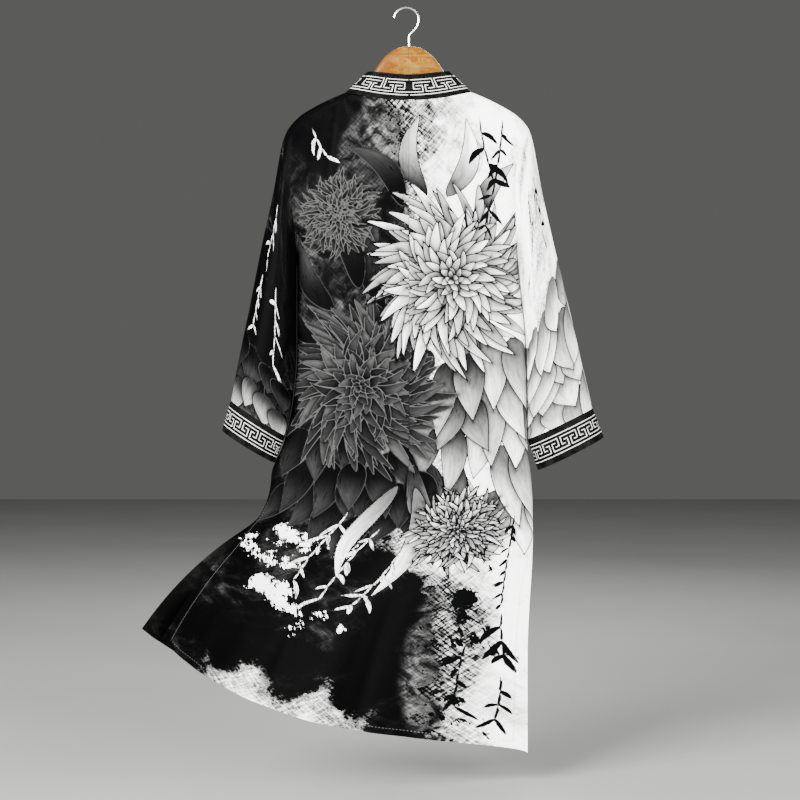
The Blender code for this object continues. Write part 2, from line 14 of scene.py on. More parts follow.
import bpy
import numpy as np
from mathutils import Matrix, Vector


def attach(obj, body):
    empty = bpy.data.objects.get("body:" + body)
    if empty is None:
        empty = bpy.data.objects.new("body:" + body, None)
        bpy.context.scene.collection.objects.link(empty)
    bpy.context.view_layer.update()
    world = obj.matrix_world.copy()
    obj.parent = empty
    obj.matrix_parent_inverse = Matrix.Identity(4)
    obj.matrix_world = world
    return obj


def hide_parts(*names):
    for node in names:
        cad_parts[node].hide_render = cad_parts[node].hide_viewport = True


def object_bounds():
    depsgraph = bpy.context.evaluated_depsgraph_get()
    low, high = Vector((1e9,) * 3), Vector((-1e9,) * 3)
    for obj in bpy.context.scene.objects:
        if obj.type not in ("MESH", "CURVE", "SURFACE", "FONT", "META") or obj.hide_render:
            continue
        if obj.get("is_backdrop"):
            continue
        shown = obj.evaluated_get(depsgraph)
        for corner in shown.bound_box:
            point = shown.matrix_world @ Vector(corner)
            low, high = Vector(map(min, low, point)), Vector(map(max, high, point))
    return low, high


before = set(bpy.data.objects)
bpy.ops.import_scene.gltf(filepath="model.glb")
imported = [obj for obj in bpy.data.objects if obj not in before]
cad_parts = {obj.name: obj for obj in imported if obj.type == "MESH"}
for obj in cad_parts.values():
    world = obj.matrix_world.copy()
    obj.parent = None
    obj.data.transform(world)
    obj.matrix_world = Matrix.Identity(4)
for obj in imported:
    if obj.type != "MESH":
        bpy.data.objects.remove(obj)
plain_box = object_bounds()
bpy.ops.object.select_all(action="DESELECT")
print("plain nodes:", ", ".join(sorted(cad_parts)))

# %% [markdown]
# ## Sums in a material
#
# A finish is a net of nodes, and most of them only add or multiply. Drawing those by hand hides
# the sum that they do. Here a small class stands for one output of a node, so a line such as
# `1 - mask * wear` adds the Math nodes by itself. Every other node comes from one method. A noise
# is a row of a few numbers, so each finish can name its own.


# %% Wires and finishes
Noise = namedtuple("Noise", "scale detail roughness distortion", defaults=(3.0, 0.5, 0.0))
Streaks = namedtuple("Streaks", "stretch turn detail roughness distortion", defaults=(0.5, 0.0))


class Wire:
    """One output of a node. Sums with it add the Math nodes that work them out."""

    def __init__(self, finish, socket):
        self.finish, self.socket = finish, socket

    def sum(self, operation, *values):
        return self.finish.node("ShaderNodeMath", {"operation": operation}, values)

    def __add__(self, other):
        return self.sum("ADD", self, other)

    def __sub__(self, other):
        return self.sum("SUBTRACT", self, other)

    def __rsub__(self, other):
        return self.sum("SUBTRACT", other, self)

    def __mul__(self, other):
        return self.sum("MULTIPLY", self, other)

    def __truediv__(self, other):
        return self.sum("DIVIDE", self, other)

    def __pow__(self, other):
        return self.sum("POWER", self, other)

    __radd__, __rmul__ = __add__, __mul__

    def step(self, low, high):
        """0 below low, 1 above high, and an even S between them."""
        settings = {"interpolation_type": "SMOOTHSTEP"}
        return self.finish.node("ShaderNodeMapRange", settings, (self, low, high, 0.0, 1.0))

    def toward(self, other, share):
        return self + (other - self) * share


class Finish:
    """A material on one Principled shader."""

    def __init__(self, name, **fixed):
        self.material = bpy.data.materials.new(name)
        self.material.use_nodes = True
        self.tree = self.material.node_tree
        self.shader = self.tree.nodes["Principled BSDF"]
        for socket, value in fixed.items():
            self.shader.inputs[socket.replace("_", " ")].default_value = value

    def node(self, kind, settings=None, inputs=(), output=0):
        made = self.tree.nodes.new(kind)
        for setting, value in (settings or {}).items():
            setattr(made, setting, value)
        pairs = inputs.items() if isinstance(inputs, dict) else enumerate(inputs)
        for socket, value in pairs:
            self.plug(made.inputs[socket], value)
        return Wire(self, made.outputs[output])

    def plug(self, socket, value):
        if isinstance(value, Wire):
            self.tree.links.new(value.socket, socket)
        else:
            socket.default_value = value

    def wear(self, **wires):
        for socket, wire in wires.items():
            self.plug(self.shader.inputs[socket.replace("_", " ")], wire)
        return self.material

    def value(self, name):
        """A number that the mesh keeps at each point."""
        return self.node("ShaderNodeAttribute", {"attribute_name": name}, output=2)

    def on_cloth(self):
        """A point's place on the cloth laid flat, in metres."""
        return self.node("ShaderNodeUVMap", {"uv_map": "flat"})

    def on_object(self):
        """A point's place on the object itself, in metres."""
        return self.node("ShaderNodeTexCoord", output=3)

    def noise(self, place, row):
        inputs = {"Vector": place, "Scale": row.scale, "Detail": row.detail}
        inputs |= {"Roughness": row.roughness, "Distortion": row.distortion}
        return self.node("ShaderNodeTexNoise", {}, inputs)

    def streaks(self, place, row):
        """Noise that is turned by so many degrees first, then stretched."""
        inputs = {"Vector": place, "Rotation": (0, 0, math.radians(row.turn))}
        turned = self.node("ShaderNodeMapping", {}, inputs)
        drawn = self.node("ShaderNodeMapping", {}, {"Vector": turned, "Scale": row.stretch})
        return self.noise(drawn, Noise(1.0, row.detail, row.roughness, row.distortion))

    def blend(self, share, first, second):
        """A colour between two others, which go to sockets 6 and 7 of the Mix node."""
        settings = {"data_type": "RGBA"}
        return self.node("ShaderNodeMix", settings, {0: share, 6: first, 7: second}, output=2)

    def bump(self, height, distance, strength=1.0):
        inputs = {"Strength": strength, "Distance": distance, "Height": height}
        return self.node("ShaderNodeBump", {}, inputs)


# %% [markdown]
# ## The robe's sizes
#
# The dressed cloth has to lie where the plain solids are, so it starts from the same sizes, in
# metres. Z is 0 where the hook rests, and the robe's back faces -Y. The wearer's left is -X, and
# a side is -1 or 1. Each table is a list of rows with named columns, and `read` gives a smooth
# value between the rows.

# %% Sizes of the cloth
SIDES = ((-1, "left"), (1, "right"))
WALL = 0.0014
BAND = 0.055
MIDDLE = 0.005
NECK_SIDE_Z = -0.156
NAPE_DROP = 0.023
NAPE_BACK = 0.050
NAPE_FADE = 0.05
NECK_SHARE = 0.552
ARMPIT_Z = -0.457
SLIT_Z = -0.914
HEM_Z = -1.370
ARMHOLE_HALF_DEPTH = 0.045
SHOULDER_ROUND = 0.018
ROUND_SHARE = 0.45
SHOULDER_FALL = 0.20
SIDE_ROUND = 2.4
ARMHOLE_REACH = 3.0
EDGE_DIP = 0.5
SLIT_OPENING = 0.18
SLEEVE_CLEARANCE = 0.0006

Level = namedtuple("Level", "z left right back front")
BODY = [
    Level(-0.2105, 0.213, 0.212, 0.047, 0.042),
    Level(-0.3360, 0.216, 0.193, 0.048, 0.044),
    Level(-0.4570, 0.207, 0.200, 0.050, 0.046),
    Level(-0.6320, 0.207, 0.216, 0.052, 0.048),
    Level(-0.7245, 0.2145, 0.218, 0.053, 0.049),
    Level(-0.8000, 0.2305, 0.219, 0.054, 0.050),
    Level(-0.8660, 0.2545, 0.2255, 0.055, 0.050),
    Level(-0.9140, 0.2550, 0.2285, 0.056, 0.051),
    Level(-0.9650, 0.2515, 0.2288, 0.057, 0.052),
    Level(-1.0200, 0.2510, 0.2265, 0.058, 0.053),
    Level(-1.1000, 0.2510, 0.2205, 0.059, 0.054),
    Level(-1.1900, 0.2515, 0.2170, 0.060, 0.055),
    Level(HEM_Z, 0.252, 0.2170, 0.062, 0.057),
]
Shoulder = namedtuple("Shoulder", "half z")
SHOULDER = [
    Shoulder(0.117, NECK_SIDE_Z),
    Shoulder(0.148, -0.1693),
    Shoulder(0.180, -0.1860),
    Shoulder(0.198, -0.1975),
    Shoulder(0.212, -0.2105),
]
Edge = namedtuple("Edge", "z half")
FRONT_EDGE = [
    Edge(NECK_SIDE_Z, 0.118),
    Edge(-0.230, 0.108),
    Edge(-0.330, 0.092),
    Edge(-0.457, 0.080),
    Edge(-0.700, 0.072),
    Edge(HEM_Z, 0.070),
]
Ring = namedtuple("Ring", "along outer outer_z inner_z half_depth")
SLEEVES = {
    "right": [
        Ring(0.00, 0.2120, -0.2105, -0.4570, 0.045),
        Ring(0.05, 0.2215, -0.2248, -0.4750, 0.046),
        Ring(0.12, 0.2300, -0.2525, -0.4970, 0.048),
        Ring(0.20, 0.2350, -0.2803, -0.5220, 0.050),
        Ring(0.33, 0.2450, -0.3358, -0.5630, 0.052),
        Ring(0.50, 0.2660, -0.4300, -0.6200, 0.053),
        Ring(0.68, 0.2915, -0.5350, -0.6850, 0.053),
        Ring(0.85, 0.3170, -0.6450, -0.7450, 0.052),
        Ring(1.00, 0.3390, -0.7390, -0.7965, 0.050),
    ],
    "left": [
        Ring(0.00, 0.2130, -0.2105, -0.4570, 0.045),
        Ring(0.05, 0.2240, -0.2248, -0.4750, 0.046),
        Ring(0.12, 0.2345, -0.2525, -0.4970, 0.048),
        Ring(0.20, 0.2400, -0.2803, -0.5220, 0.050),
        Ring(0.33, 0.2495, -0.3358, -0.5630, 0.053),
        Ring(0.50, 0.2700, -0.4300, -0.6150, 0.055),
        Ring(0.68, 0.2910, -0.5350, -0.6750, 0.057),
        Ring(0.85, 0.3115, -0.6350, -0.7350, 0.058),
        Ring(1.00, 0.3290, -0.7243, -0.7900, 0.058),
    ],
}
Rim = namedtuple("Rim", "outer outer_z inner inner_z half_depth")
CUFFS = {
    "right": Rim(0.3600, -0.7925, 0.2385, -0.8535, 0.050),
    "left": Rim(0.3450, -0.7798, 0.2480, -0.8400, 0.058),
}
Lean = namedtuple("Lean", "drop inward forward up")
FRONT_LEAN = [
    Lean(0.00, 0.72, 0.00, 0.69),
    Lean(0.03, 0.82, 0.08, 0.56),
    Lean(0.08, 0.93, 0.12, 0.35),
    Lean(0.16, 0.99, 0.06, 0.12),
    Lean(0.30, 1.00, 0.02, 0.00),
]
BAND_HALF = 0.0774
BAND_BACK = 0.030
BAND_NAPE_Z = -0.128
BAND_RISE = 0.0105
print("hem to hook:", -HEM_Z, "m")


# %% [markdown]
# ## Small sums on tables
#
# `read` draws a smooth line through a table's rows that never overshoots them, so a size that
# only grows in the table only grows between the rows too.


# %% Reading a table
def step(value):
    value = np.clip(value, 0, 1)
    return value * value * (3 - 2 * value)


def unit(vectors):
    return vectors / np.linalg.norm(vectors, axis=-1, keepdims=True)


def column(rows, name):
    return np.array([getattr(row, name) for row in rows], float)


def read(rows, name, at):
    places, values = column(rows, rows[0]._fields[0]), column(rows, name)
    if places[0] > places[-1]:
        places, values = places[::-1], values[::-1]
    gaps = np.diff(places)
    slopes = np.diff(values) / gaps
    same_way = slopes[:-1] * slopes[1:] > 0
    safe = np.where(same_way, slopes[:-1] + slopes[1:], 1)
    inner = np.where(same_way, 2 * slopes[:-1] * slopes[1:] / safe, 0)
    tangents = np.concatenate([slopes[:1], inner, slopes[-1:]])
    at = np.clip(at, places[0], places[-1])
    cell = np.clip(np.searchsorted(places, at) - 1, 0, len(gaps) - 1)
    part, gap = (at - places[cell]) / gaps[cell], gaps[cell]
    start, end = values[cell], values[cell + 1]
    rise = part * part * (3 - 2 * part)
    pull = (1 - part) * tangents[cell] - part * tangents[cell + 1]
    return start * (1 - rise) + end * rise + gap * part * (1 - part) * pull


print("half width at the waist:", round(float(read(BODY, "right", -0.70)), 4), "m")

# %% [markdown]
# ## Folds and creases
#
# Hanging satin is taut where the hanger carries it, and it breaks into long soft troughs lower
# down. They could come from a cloth simulation, but this robe is held still in the wind, and a
# few listed creases keep its outline exact. Each row is one trough, or a ridge where its
# depth is negative. The first rows are the large folds of the plain solids. A fold that runs out
# over the hem has its end below it, so it is still deep there.

# %% Folds of the body
PAST_HEM = HEM_Z - 0.1
SIDE_FADE = 0.08
Fold = namedtuple("Fold", "start start_z end end_z half_width depth")
BACK_FOLDS = [
    Fold(-0.86, -0.215, -0.90, -0.420, 0.12, 0.0035),
    Fold(0.86, -0.215, 0.92, -0.420, 0.12, 0.0035),
    Fold(-0.45, -0.860, -0.62, PAST_HEM, 0.15, 0.007),
    Fold(-0.02, -0.940, -0.10, PAST_HEM, 0.17, -0.008),
    Fold(0.42, -0.900, 0.40, PAST_HEM, 0.16, 0.006),
    Fold(-0.93, -0.330, -0.70, -0.640, 0.05, 0.0020),
    Fold(-0.80, -0.400, -0.52, -0.780, 0.06, 0.0016),
    Fold(0.92, -0.340, 0.74, -0.620, 0.05, 0.0018),
    Fold(0.84, -0.480, 0.70, -0.860, 0.05, 0.0014),
    Fold(-0.62, -0.172, -0.70, -0.330, 0.04, 0.0012),
    Fold(0.62, -0.172, 0.68, -0.330, 0.04, 0.0012),
    Fold(-0.90, -0.700, -0.72, -0.980, 0.05, 0.0022),
    Fold(-0.96, -0.840, -0.84, -1.150, 0.05, 0.0026),
    Fold(-0.74, -0.880, -0.80, PAST_HEM, 0.06, 0.0030),
    Fold(-0.28, -0.930, -0.36, PAST_HEM, 0.06, 0.0028),
    Fold(0.18, -1.000, 0.14, PAST_HEM, 0.06, 0.0024),
    Fold(0.66, -0.960, 0.68, PAST_HEM, 0.05, 0.0022),
    Fold(0.88, -0.930, 0.86, -1.260, 0.04, 0.0018),
]
FRONT_FOLDS = [
    Fold(-0.62, -0.860, -0.70, PAST_HEM, 0.15, 0.006),
    Fold(0.66, -0.700, 0.70, PAST_HEM, 0.15, 0.006),
    Fold(-0.92, -0.340, -0.70, -0.620, 0.06, 0.0020),
    Fold(0.92, -0.340, 0.70, -0.620, 0.06, 0.0020),
    Fold(-0.66, -0.200, -0.74, -0.400, 0.05, 0.0014),
    Fold(0.66, -0.200, 0.74, -0.400, 0.05, 0.0014),
    Fold(-0.88, -0.860, -0.92, PAST_HEM, 0.06, 0.0028),
    Fold(0.52, -0.900, 0.54, PAST_HEM, 0.06, 0.0024),
    Fold(0.86, -0.930, 0.88, PAST_HEM, 0.05, 0.0020),
]
SleeveFold = namedtuple("SleeveFold", "turn start end end_turn half_width depth")
SLEEVE_FOLDS = {
    "right": [
        SleeveFold(0.34, 0.02, 0.55, 0.42, 0.030, 0.0022),
        SleeveFold(0.22, 0.10, 0.60, 0.26, 0.034, 0.0018),
        SleeveFold(0.44, 0.28, 0.62, 0.30, 0.022, 0.0024),
        SleeveFold(0.45, 0.42, 0.74, 0.33, 0.022, 0.0022),
        SleeveFold(0.10, 0.45, 0.95, 0.16, 0.034, 0.0018),
        SleeveFold(0.66, 0.05, 0.60, 0.58, 0.030, 0.0022),
        SleeveFold(0.78, 0.30, 0.90, 0.74, 0.034, 0.0018),
        SleeveFold(0.56, 0.35, 0.66, 0.68, 0.022, 0.0022),
    ],
    "left": [
        SleeveFold(0.36, 0.02, 0.50, 0.43, 0.030, 0.0024),
        SleeveFold(0.24, 0.12, 0.66, 0.27, 0.034, 0.0020),
        SleeveFold(0.46, 0.30, 0.58, 0.30, 0.022, 0.0026),
        SleeveFold(0.44, 0.48, 0.80, 0.32, 0.024, 0.0022),
        SleeveFold(0.12, 0.40, 0.96, 0.15, 0.034, 0.0020),
        SleeveFold(0.64, 0.04, 0.62, 0.57, 0.030, 0.0022),
        SleeveFold(0.76, 0.32, 0.92, 0.73, 0.034, 0.0018),
        SleeveFold(0.55, 0.40, 0.70, 0.67, 0.022, 0.0022),
    ],
}


def trough(away):
    """The form of a fold across its length: 1 in its middle, and near 0 past its half width."""
    return np.exp(-2 * away**2)


def folds(rows, across, z):
    total = np.zeros(np.broadcast(across, z).shape)
    for fold in rows:
        part = np.clip((z - fold.start_z) / (fold.end_z - fold.start_z), 0, 1)
        away = (across - fold.start - (fold.end - fold.start) * part) / fold.half_width
        fade = np.sin(math.pi * np.minimum(part, 0.5 if fold.end_z < HEM_Z else part))
        total -= fold.depth * fade * trough(away)
    return total * step((1 - np.abs(across)) / SIDE_FADE)


print(len(BACK_FOLDS), "folds in the back and", len(FRONT_FOLDS), "in the fronts")

# %% [markdown]
# ## The body's form
#
# From the front a robe is an outline, and from the side it is a depth. `stand_off` gives the
# depth at each point: round over the hanger, shut at the side seams, open at the armholes, and
# flat below the slits. `blown` then walks down each thread and lets the wind turn it, more at
# the left edge than at the right, so the cloth keeps its length as it lifts.

# %% The wind
WIND_Z = -0.85
WIND_BEND = 0.142
SWING = math.radians(46.5)
SWING_POWER = 0.81
DROOP = 0.51
DROOP_FALL = 0.40
LIFT = math.radians(53)
LIFT_POWER = 1.63
GATHER = 0.124
GATHER_POWER = 0.52
FRONT_LAG = 0.12
FRONT_LEAD = 0.30
WIND_STEPS = 40


def blown(across, z, lag):
    """How far the wind has carried each thread of the cloth. Only a front has a lag."""
    weight = (1 - across) / 2
    fall = np.maximum(WIND_Z - z, 0)
    moved = np.zeros(fall.shape + (3,))
    for number in range(WIND_STEPS):
        gone = fall * (number + 0.5) / WIND_STEPS
        bend = step(gone / WIND_BEND)
        late = step((gone - (WIND_Z - SLIT_Z)) / WIND_BEND) * lag
        droop = DROOP * np.clip((gone - WIND_BEND) / DROOP_FALL, 0, 1)
        swing = SWING * weight**SWING_POWER * bend * (1 - droop) * (1 + FRONT_LEAD * late)
        lift = LIFT * weight**LIFT_POWER * bend * (1 - FRONT_LAG * late)
        reach = 1 - GATHER * weight**GATHER_POWER * bend
        moved[..., 0] -= np.sin(swing) * np.cos(lift) * reach
        moved[..., 1] -= np.sin(lift) * reach
        moved[..., 2] += 1 - np.cos(swing) * np.cos(lift) * reach
    return moved * (fall / WIND_STEPS)[..., None]


print("the left edge swings by", round(math.degrees(SWING), 1), "degrees")


# %% The body's surfaces
def half_width(across, z):
    left, right = read(BODY, "left", z), read(BODY, "right", z)
    return np.where(across < 0, left, right)


def top_z(across):
    share = np.minimum(np.abs(across) / NECK_SHARE, 1)
    neck = NECK_SIDE_Z - NAPE_DROP * (1 - share**2)
    tip = SHOULDER[-1].half
    return np.where(share < 1, neck, read(SHOULDER, "z", np.abs(across) * tip))


def row_z(across, level):
    top = top_z(across)
    upper = top + (ARMPIT_Z - top) * (1 - np.cos(math.pi * np.clip(level, 0, 1))) / 2
    side = (SLIT_Z - ARMPIT_Z) * np.clip(level - 1, 0, 1)
    slit = (HEM_Z - SLIT_Z) * np.clip(level - 2, 0, 1)
    return upper + side + slit


def stand_off(across, top_across, level, z, depth, neck, fold_rows):
    drop = top_z(top_across) - z
    over = np.sqrt(1 - (1 - np.clip(drop / SHOULDER_ROUND, 0, 1)) ** 2)
    neck = neck * (1 - np.minimum(np.abs(across) / NECK_SHARE, 1) ** 2) ** step(drop / NAPE_FADE)
    rise = ROUND_SHARE * over + (1 - ROUND_SHARE) * step(drop / SHOULDER_FALL)
    middle = neck + (depth - neck) * rise
    armhole = ARMHOLE_HALF_DEPTH * np.sin(math.pi * np.clip(level, 0, 1))
    middle_part = middle**SIDE_ROUND * (1 - np.minimum(np.abs(across), 1) ** SIDE_ROUND)
    side_part = (armhole * np.abs(across) ** ARMHOLE_REACH) ** SIDE_ROUND
    shut = (middle_part + side_part) ** (1 / SIDE_ROUND)
    flat = middle * (1 - EDGE_DIP * across**2)
    opened = step((SLIT_Z - z) / SLIT_OPENING)
    return shut + (flat - shut) * opened + folds(fold_rows, across, z)


def back_points(across, level):
    """The back's outer face, and the same cloth laid flat as (across, height)."""
    across, level = np.meshgrid(across, level)
    z = row_z(across, level)
    x = MIDDLE + across * half_width(across, z)
    share = np.minimum(np.abs(across) / NECK_SHARE, 1)
    neck = NAPE_BACK * np.sqrt(1 - share**2)
    y = -stand_off(across, across, level, z, read(BODY, "back", z), neck, BACK_FOLDS)
    still = np.stack([x, y, z], axis=-1)
    return still + blown(across, z, 0), laid_flat(still)


def front_points(side, out, level):
    out, level = np.meshgrid(out, level)
    top_across = side * (NECK_SHARE + (1 - NECK_SHARE) * out)
    z = row_z(top_across, level)
    half = half_width(top_across, z)
    edge = np.minimum(read(FRONT_EDGE, "half", z) / half, NECK_SHARE)
    across = side * (edge + (1 - edge) * out)
    x = MIDDLE + across * half
    depth = read(BODY, "front", z)
    y = stand_off(across, top_across, level, z, depth, 0, FRONT_FOLDS)
    still = np.stack([x, y, z], axis=-1)
    return still + blown(across, z, 1), laid_flat(still)


def laid_flat(still):
    """Where each point lies when the piece is flat: its distance along its row, and its height."""
    middle = int(np.argmin(np.abs(still[-1, :, 0] - MIDDLE)))
    steps = np.linalg.norm(np.diff(still[..., :2], axis=1), axis=-1)
    along = np.concatenate([np.zeros((len(still), 1)), np.cumsum(steps, axis=1)], axis=1)
    along *= np.sign(still[-1, -1, 0] - still[-1, 0, 0])
    along += still[:, middle, 0][:, None] - MIDDLE - along[:, middle][:, None]
    return np.stack([along, still[..., 2]], axis=-1)


def run_of(line):
    """How far along a line each of its points lies."""
    return np.concatenate([[0], np.cumsum(np.linalg.norm(np.diff(line, axis=0), axis=-1))])


def grid_normals(points, outward, ring=False):
    down = np.gradient(points, axis=0)
    if ring:
        over = np.roll(points, -1, axis=1) - np.roll(points, 1, axis=1)
    else:
        over = np.gradient(points, axis=1)
    return unit(np.cross(down, over)) * outward


print("nape:", round(float(top_z(0.0)), 4), "m from the hook")

# %% [markdown]
# ## A thin shell of cloth
#
# Real satin is a fraction of a millimetre thick, but its edges are turned in, so an edge looks
# about a millimetre and a half thick. A Solidify modifier would do that, with as many faces
# inside as outside. The inside needs far fewer, so this helper lays a coarse inner face under a
# fine outer one and closes the rim between them. The outer face wears the first finish and the
# inner one the second. Where two pieces meet at a seam, `flatten` takes the part that points
# across the seam out of their normals, so that their walls meet face to face.

# %% Building a shell
COARSE = 4
SHARP = math.radians(50)


def rim_chains(rows, columns, ring):
    """Runs of outer points along the open edges, each as long as one inner face."""
    if ring:
        for at in range(0, columns, COARSE):
            run = [(at + extra) % columns for extra in range(COARSE + 1)]
            yield [(0, place) for place in run]
            yield [(rows - 1, place) for place in reversed(run)]
        return
    edge = [(0, at) for at in range(columns)]
    edge += [(row, columns - 1) for row in range(1, rows)]
    edge += [(rows - 1, at) for at in range(columns - 2, -1, -1)]
    edge += [(row, 0) for row in range(rows - 2, -1, -1)]
    for at in range(0, len(edge) - 1, COARSE):
        yield edge[at : at + COARSE + 1]


def grid_faces(rows, columns, ring, first):
    row, at = np.meshgrid(np.arange(rows - 1), np.arange(columns if ring else columns - 1))
    row, at = row.T.ravel(), at.T.ravel()
    beside = (at + 1) % columns
    corners = [row * columns + at, (row + 1) * columns + at]
    corners += [(row + 1) * columns + beside, row * columns + beside]
    return np.stack(corners, axis=1) + first


def shell(name, points, outward, flat, finishes, ring=False, flatten=()):
    """A closed shell on a grid of outer points, with the cloth laid flat as its UV map."""
    rows, columns = points.shape[:2]
    normals = grid_normals(points, outward, ring)
    for where, axis in flatten:
        normals[where + (axis,)] = 0
        normals[where] = unit(normals[where])
    inside = (points - WALL * normals)[::COARSE, ::COARSE]
    inner_rows, inner_columns = inside.shape[:2]
    first = rows * columns
    outer_faces = grid_faces(rows, columns, ring, 0)
    inner_faces = grid_faces(inner_rows, inner_columns, ring, first)[:, ::-1]
    faces = outer_faces.tolist() + inner_faces.tolist()
    for chain in rim_chains(rows, columns, ring):
        (row, at), (last_row, last_at) = chain[0], chain[-1]
        inner = [last_row // COARSE * inner_columns + last_at // COARSE]
        inner += [row // COARSE * inner_columns + at // COARSE]
        faces.append([r * columns + c for r, c in chain] + [first + place for place in inner])
    if outward < 0:
        faces = [face[::-1] for face in faces]
    both = np.concatenate([points.reshape(-1, 3), inside.reshape(-1, 3)])
    mesh = bpy.data.meshes.new(name)
    mesh.from_pydata(both.tolist(), [], faces)
    piece = bpy.data.objects.new(name, mesh)
    bpy.context.scene.collection.objects.link(piece)
    side = np.zeros(len(faces), np.int32)
    side[len(outer_faces) : len(outer_faces) + len(inner_faces)] = 1
    mesh.polygons.foreach_set("material_index", side)
    laid = np.concatenate([flat.reshape(-1, 2), flat[::COARSE, ::COARSE].reshape(-1, 2)])
    corners = np.empty(len(mesh.loops), np.int32)
    mesh.loops.foreach_get("vertex_index", corners)
    mesh.uv_layers.new(name="flat").data.foreach_set("uv", laid[corners].ravel())
    mesh.shade_smooth()
    mesh.set_sharp_from_angle(angle=SHARP)
    for finish in finishes:
        mesh.materials.append(finish)
    return piece, laid


def store(piece, name, values):
    layer = piece.data.attributes.new(name, "FLOAT", "POINT")
    layer.data.foreach_set("value", np.asarray(values, np.float32))


print("one inner face lies under", COARSE**2, "outer ones")

# %% [markdown]
# ## Painting with numbers
#
# The robe is printed all over in ink greys, with a plain traditional design of blooms, long
# leaves, sprays and splashes.
#
# A picture file could hold it, but a painted mesh needs none. Each point of the cloth keeps a
# few numbers: how light the motif is there, and how far the point lies inside a motif or a brush
# mark. A distance blends evenly between points, so the edge that the material cuts from it stays
# sharp even though the points are two millimetres apart.
#
# Petals overlap, and each needs a thin line round it. So each has a code, a small number that few
# of its neighbours share. Every bit of the code is kept as the distance to the petal's edge, above
# 0 where the bit is set and below 0 where it isn't. Where two codes meet, at least one of these
# distances changes its sign, and there the material draws the line.
#
# A look says how light a petal is at its root and its tip, how light its line is, and how much
# it shades what lies under its edge. A faint halo of wash runs round all of them.


# %% The painter
FAR = 0.02
BESIDE = 0.004
TINY = 1e-4
SHADOW = 0.0045
HALO, HALO_REACH = 0.35, 0.006
CODE_BITS = 3
ROOT_FULLNESS = 0.6
END_ROUND = 0.001
LEE_SHADE, LEE_RIM = 0.28, 0.55
STRAND_STEP = 0.37
LAYERS = ("cover", "pale", "dark", "foam", "pool")
DRAWING = ("tone", "rim", "side", "along", "strand", "wash_and_shade")
Look = namedtuple("Look", "root tip rim shade")
PALE_PETAL = Look(0.22, 1.00, 0.02, 0.72)
PALE_LEAF = Look(0.30, 1.04, 0.02, 0.65)
GREY_LEAF = Look(0.12, 0.68, 0.02, 0.60)
DARK_PETAL = Look(0.005, 0.25, 0.22, 0.80)
DARK_LEAF = Look(0.005, 0.17, 0.16, 0.70)


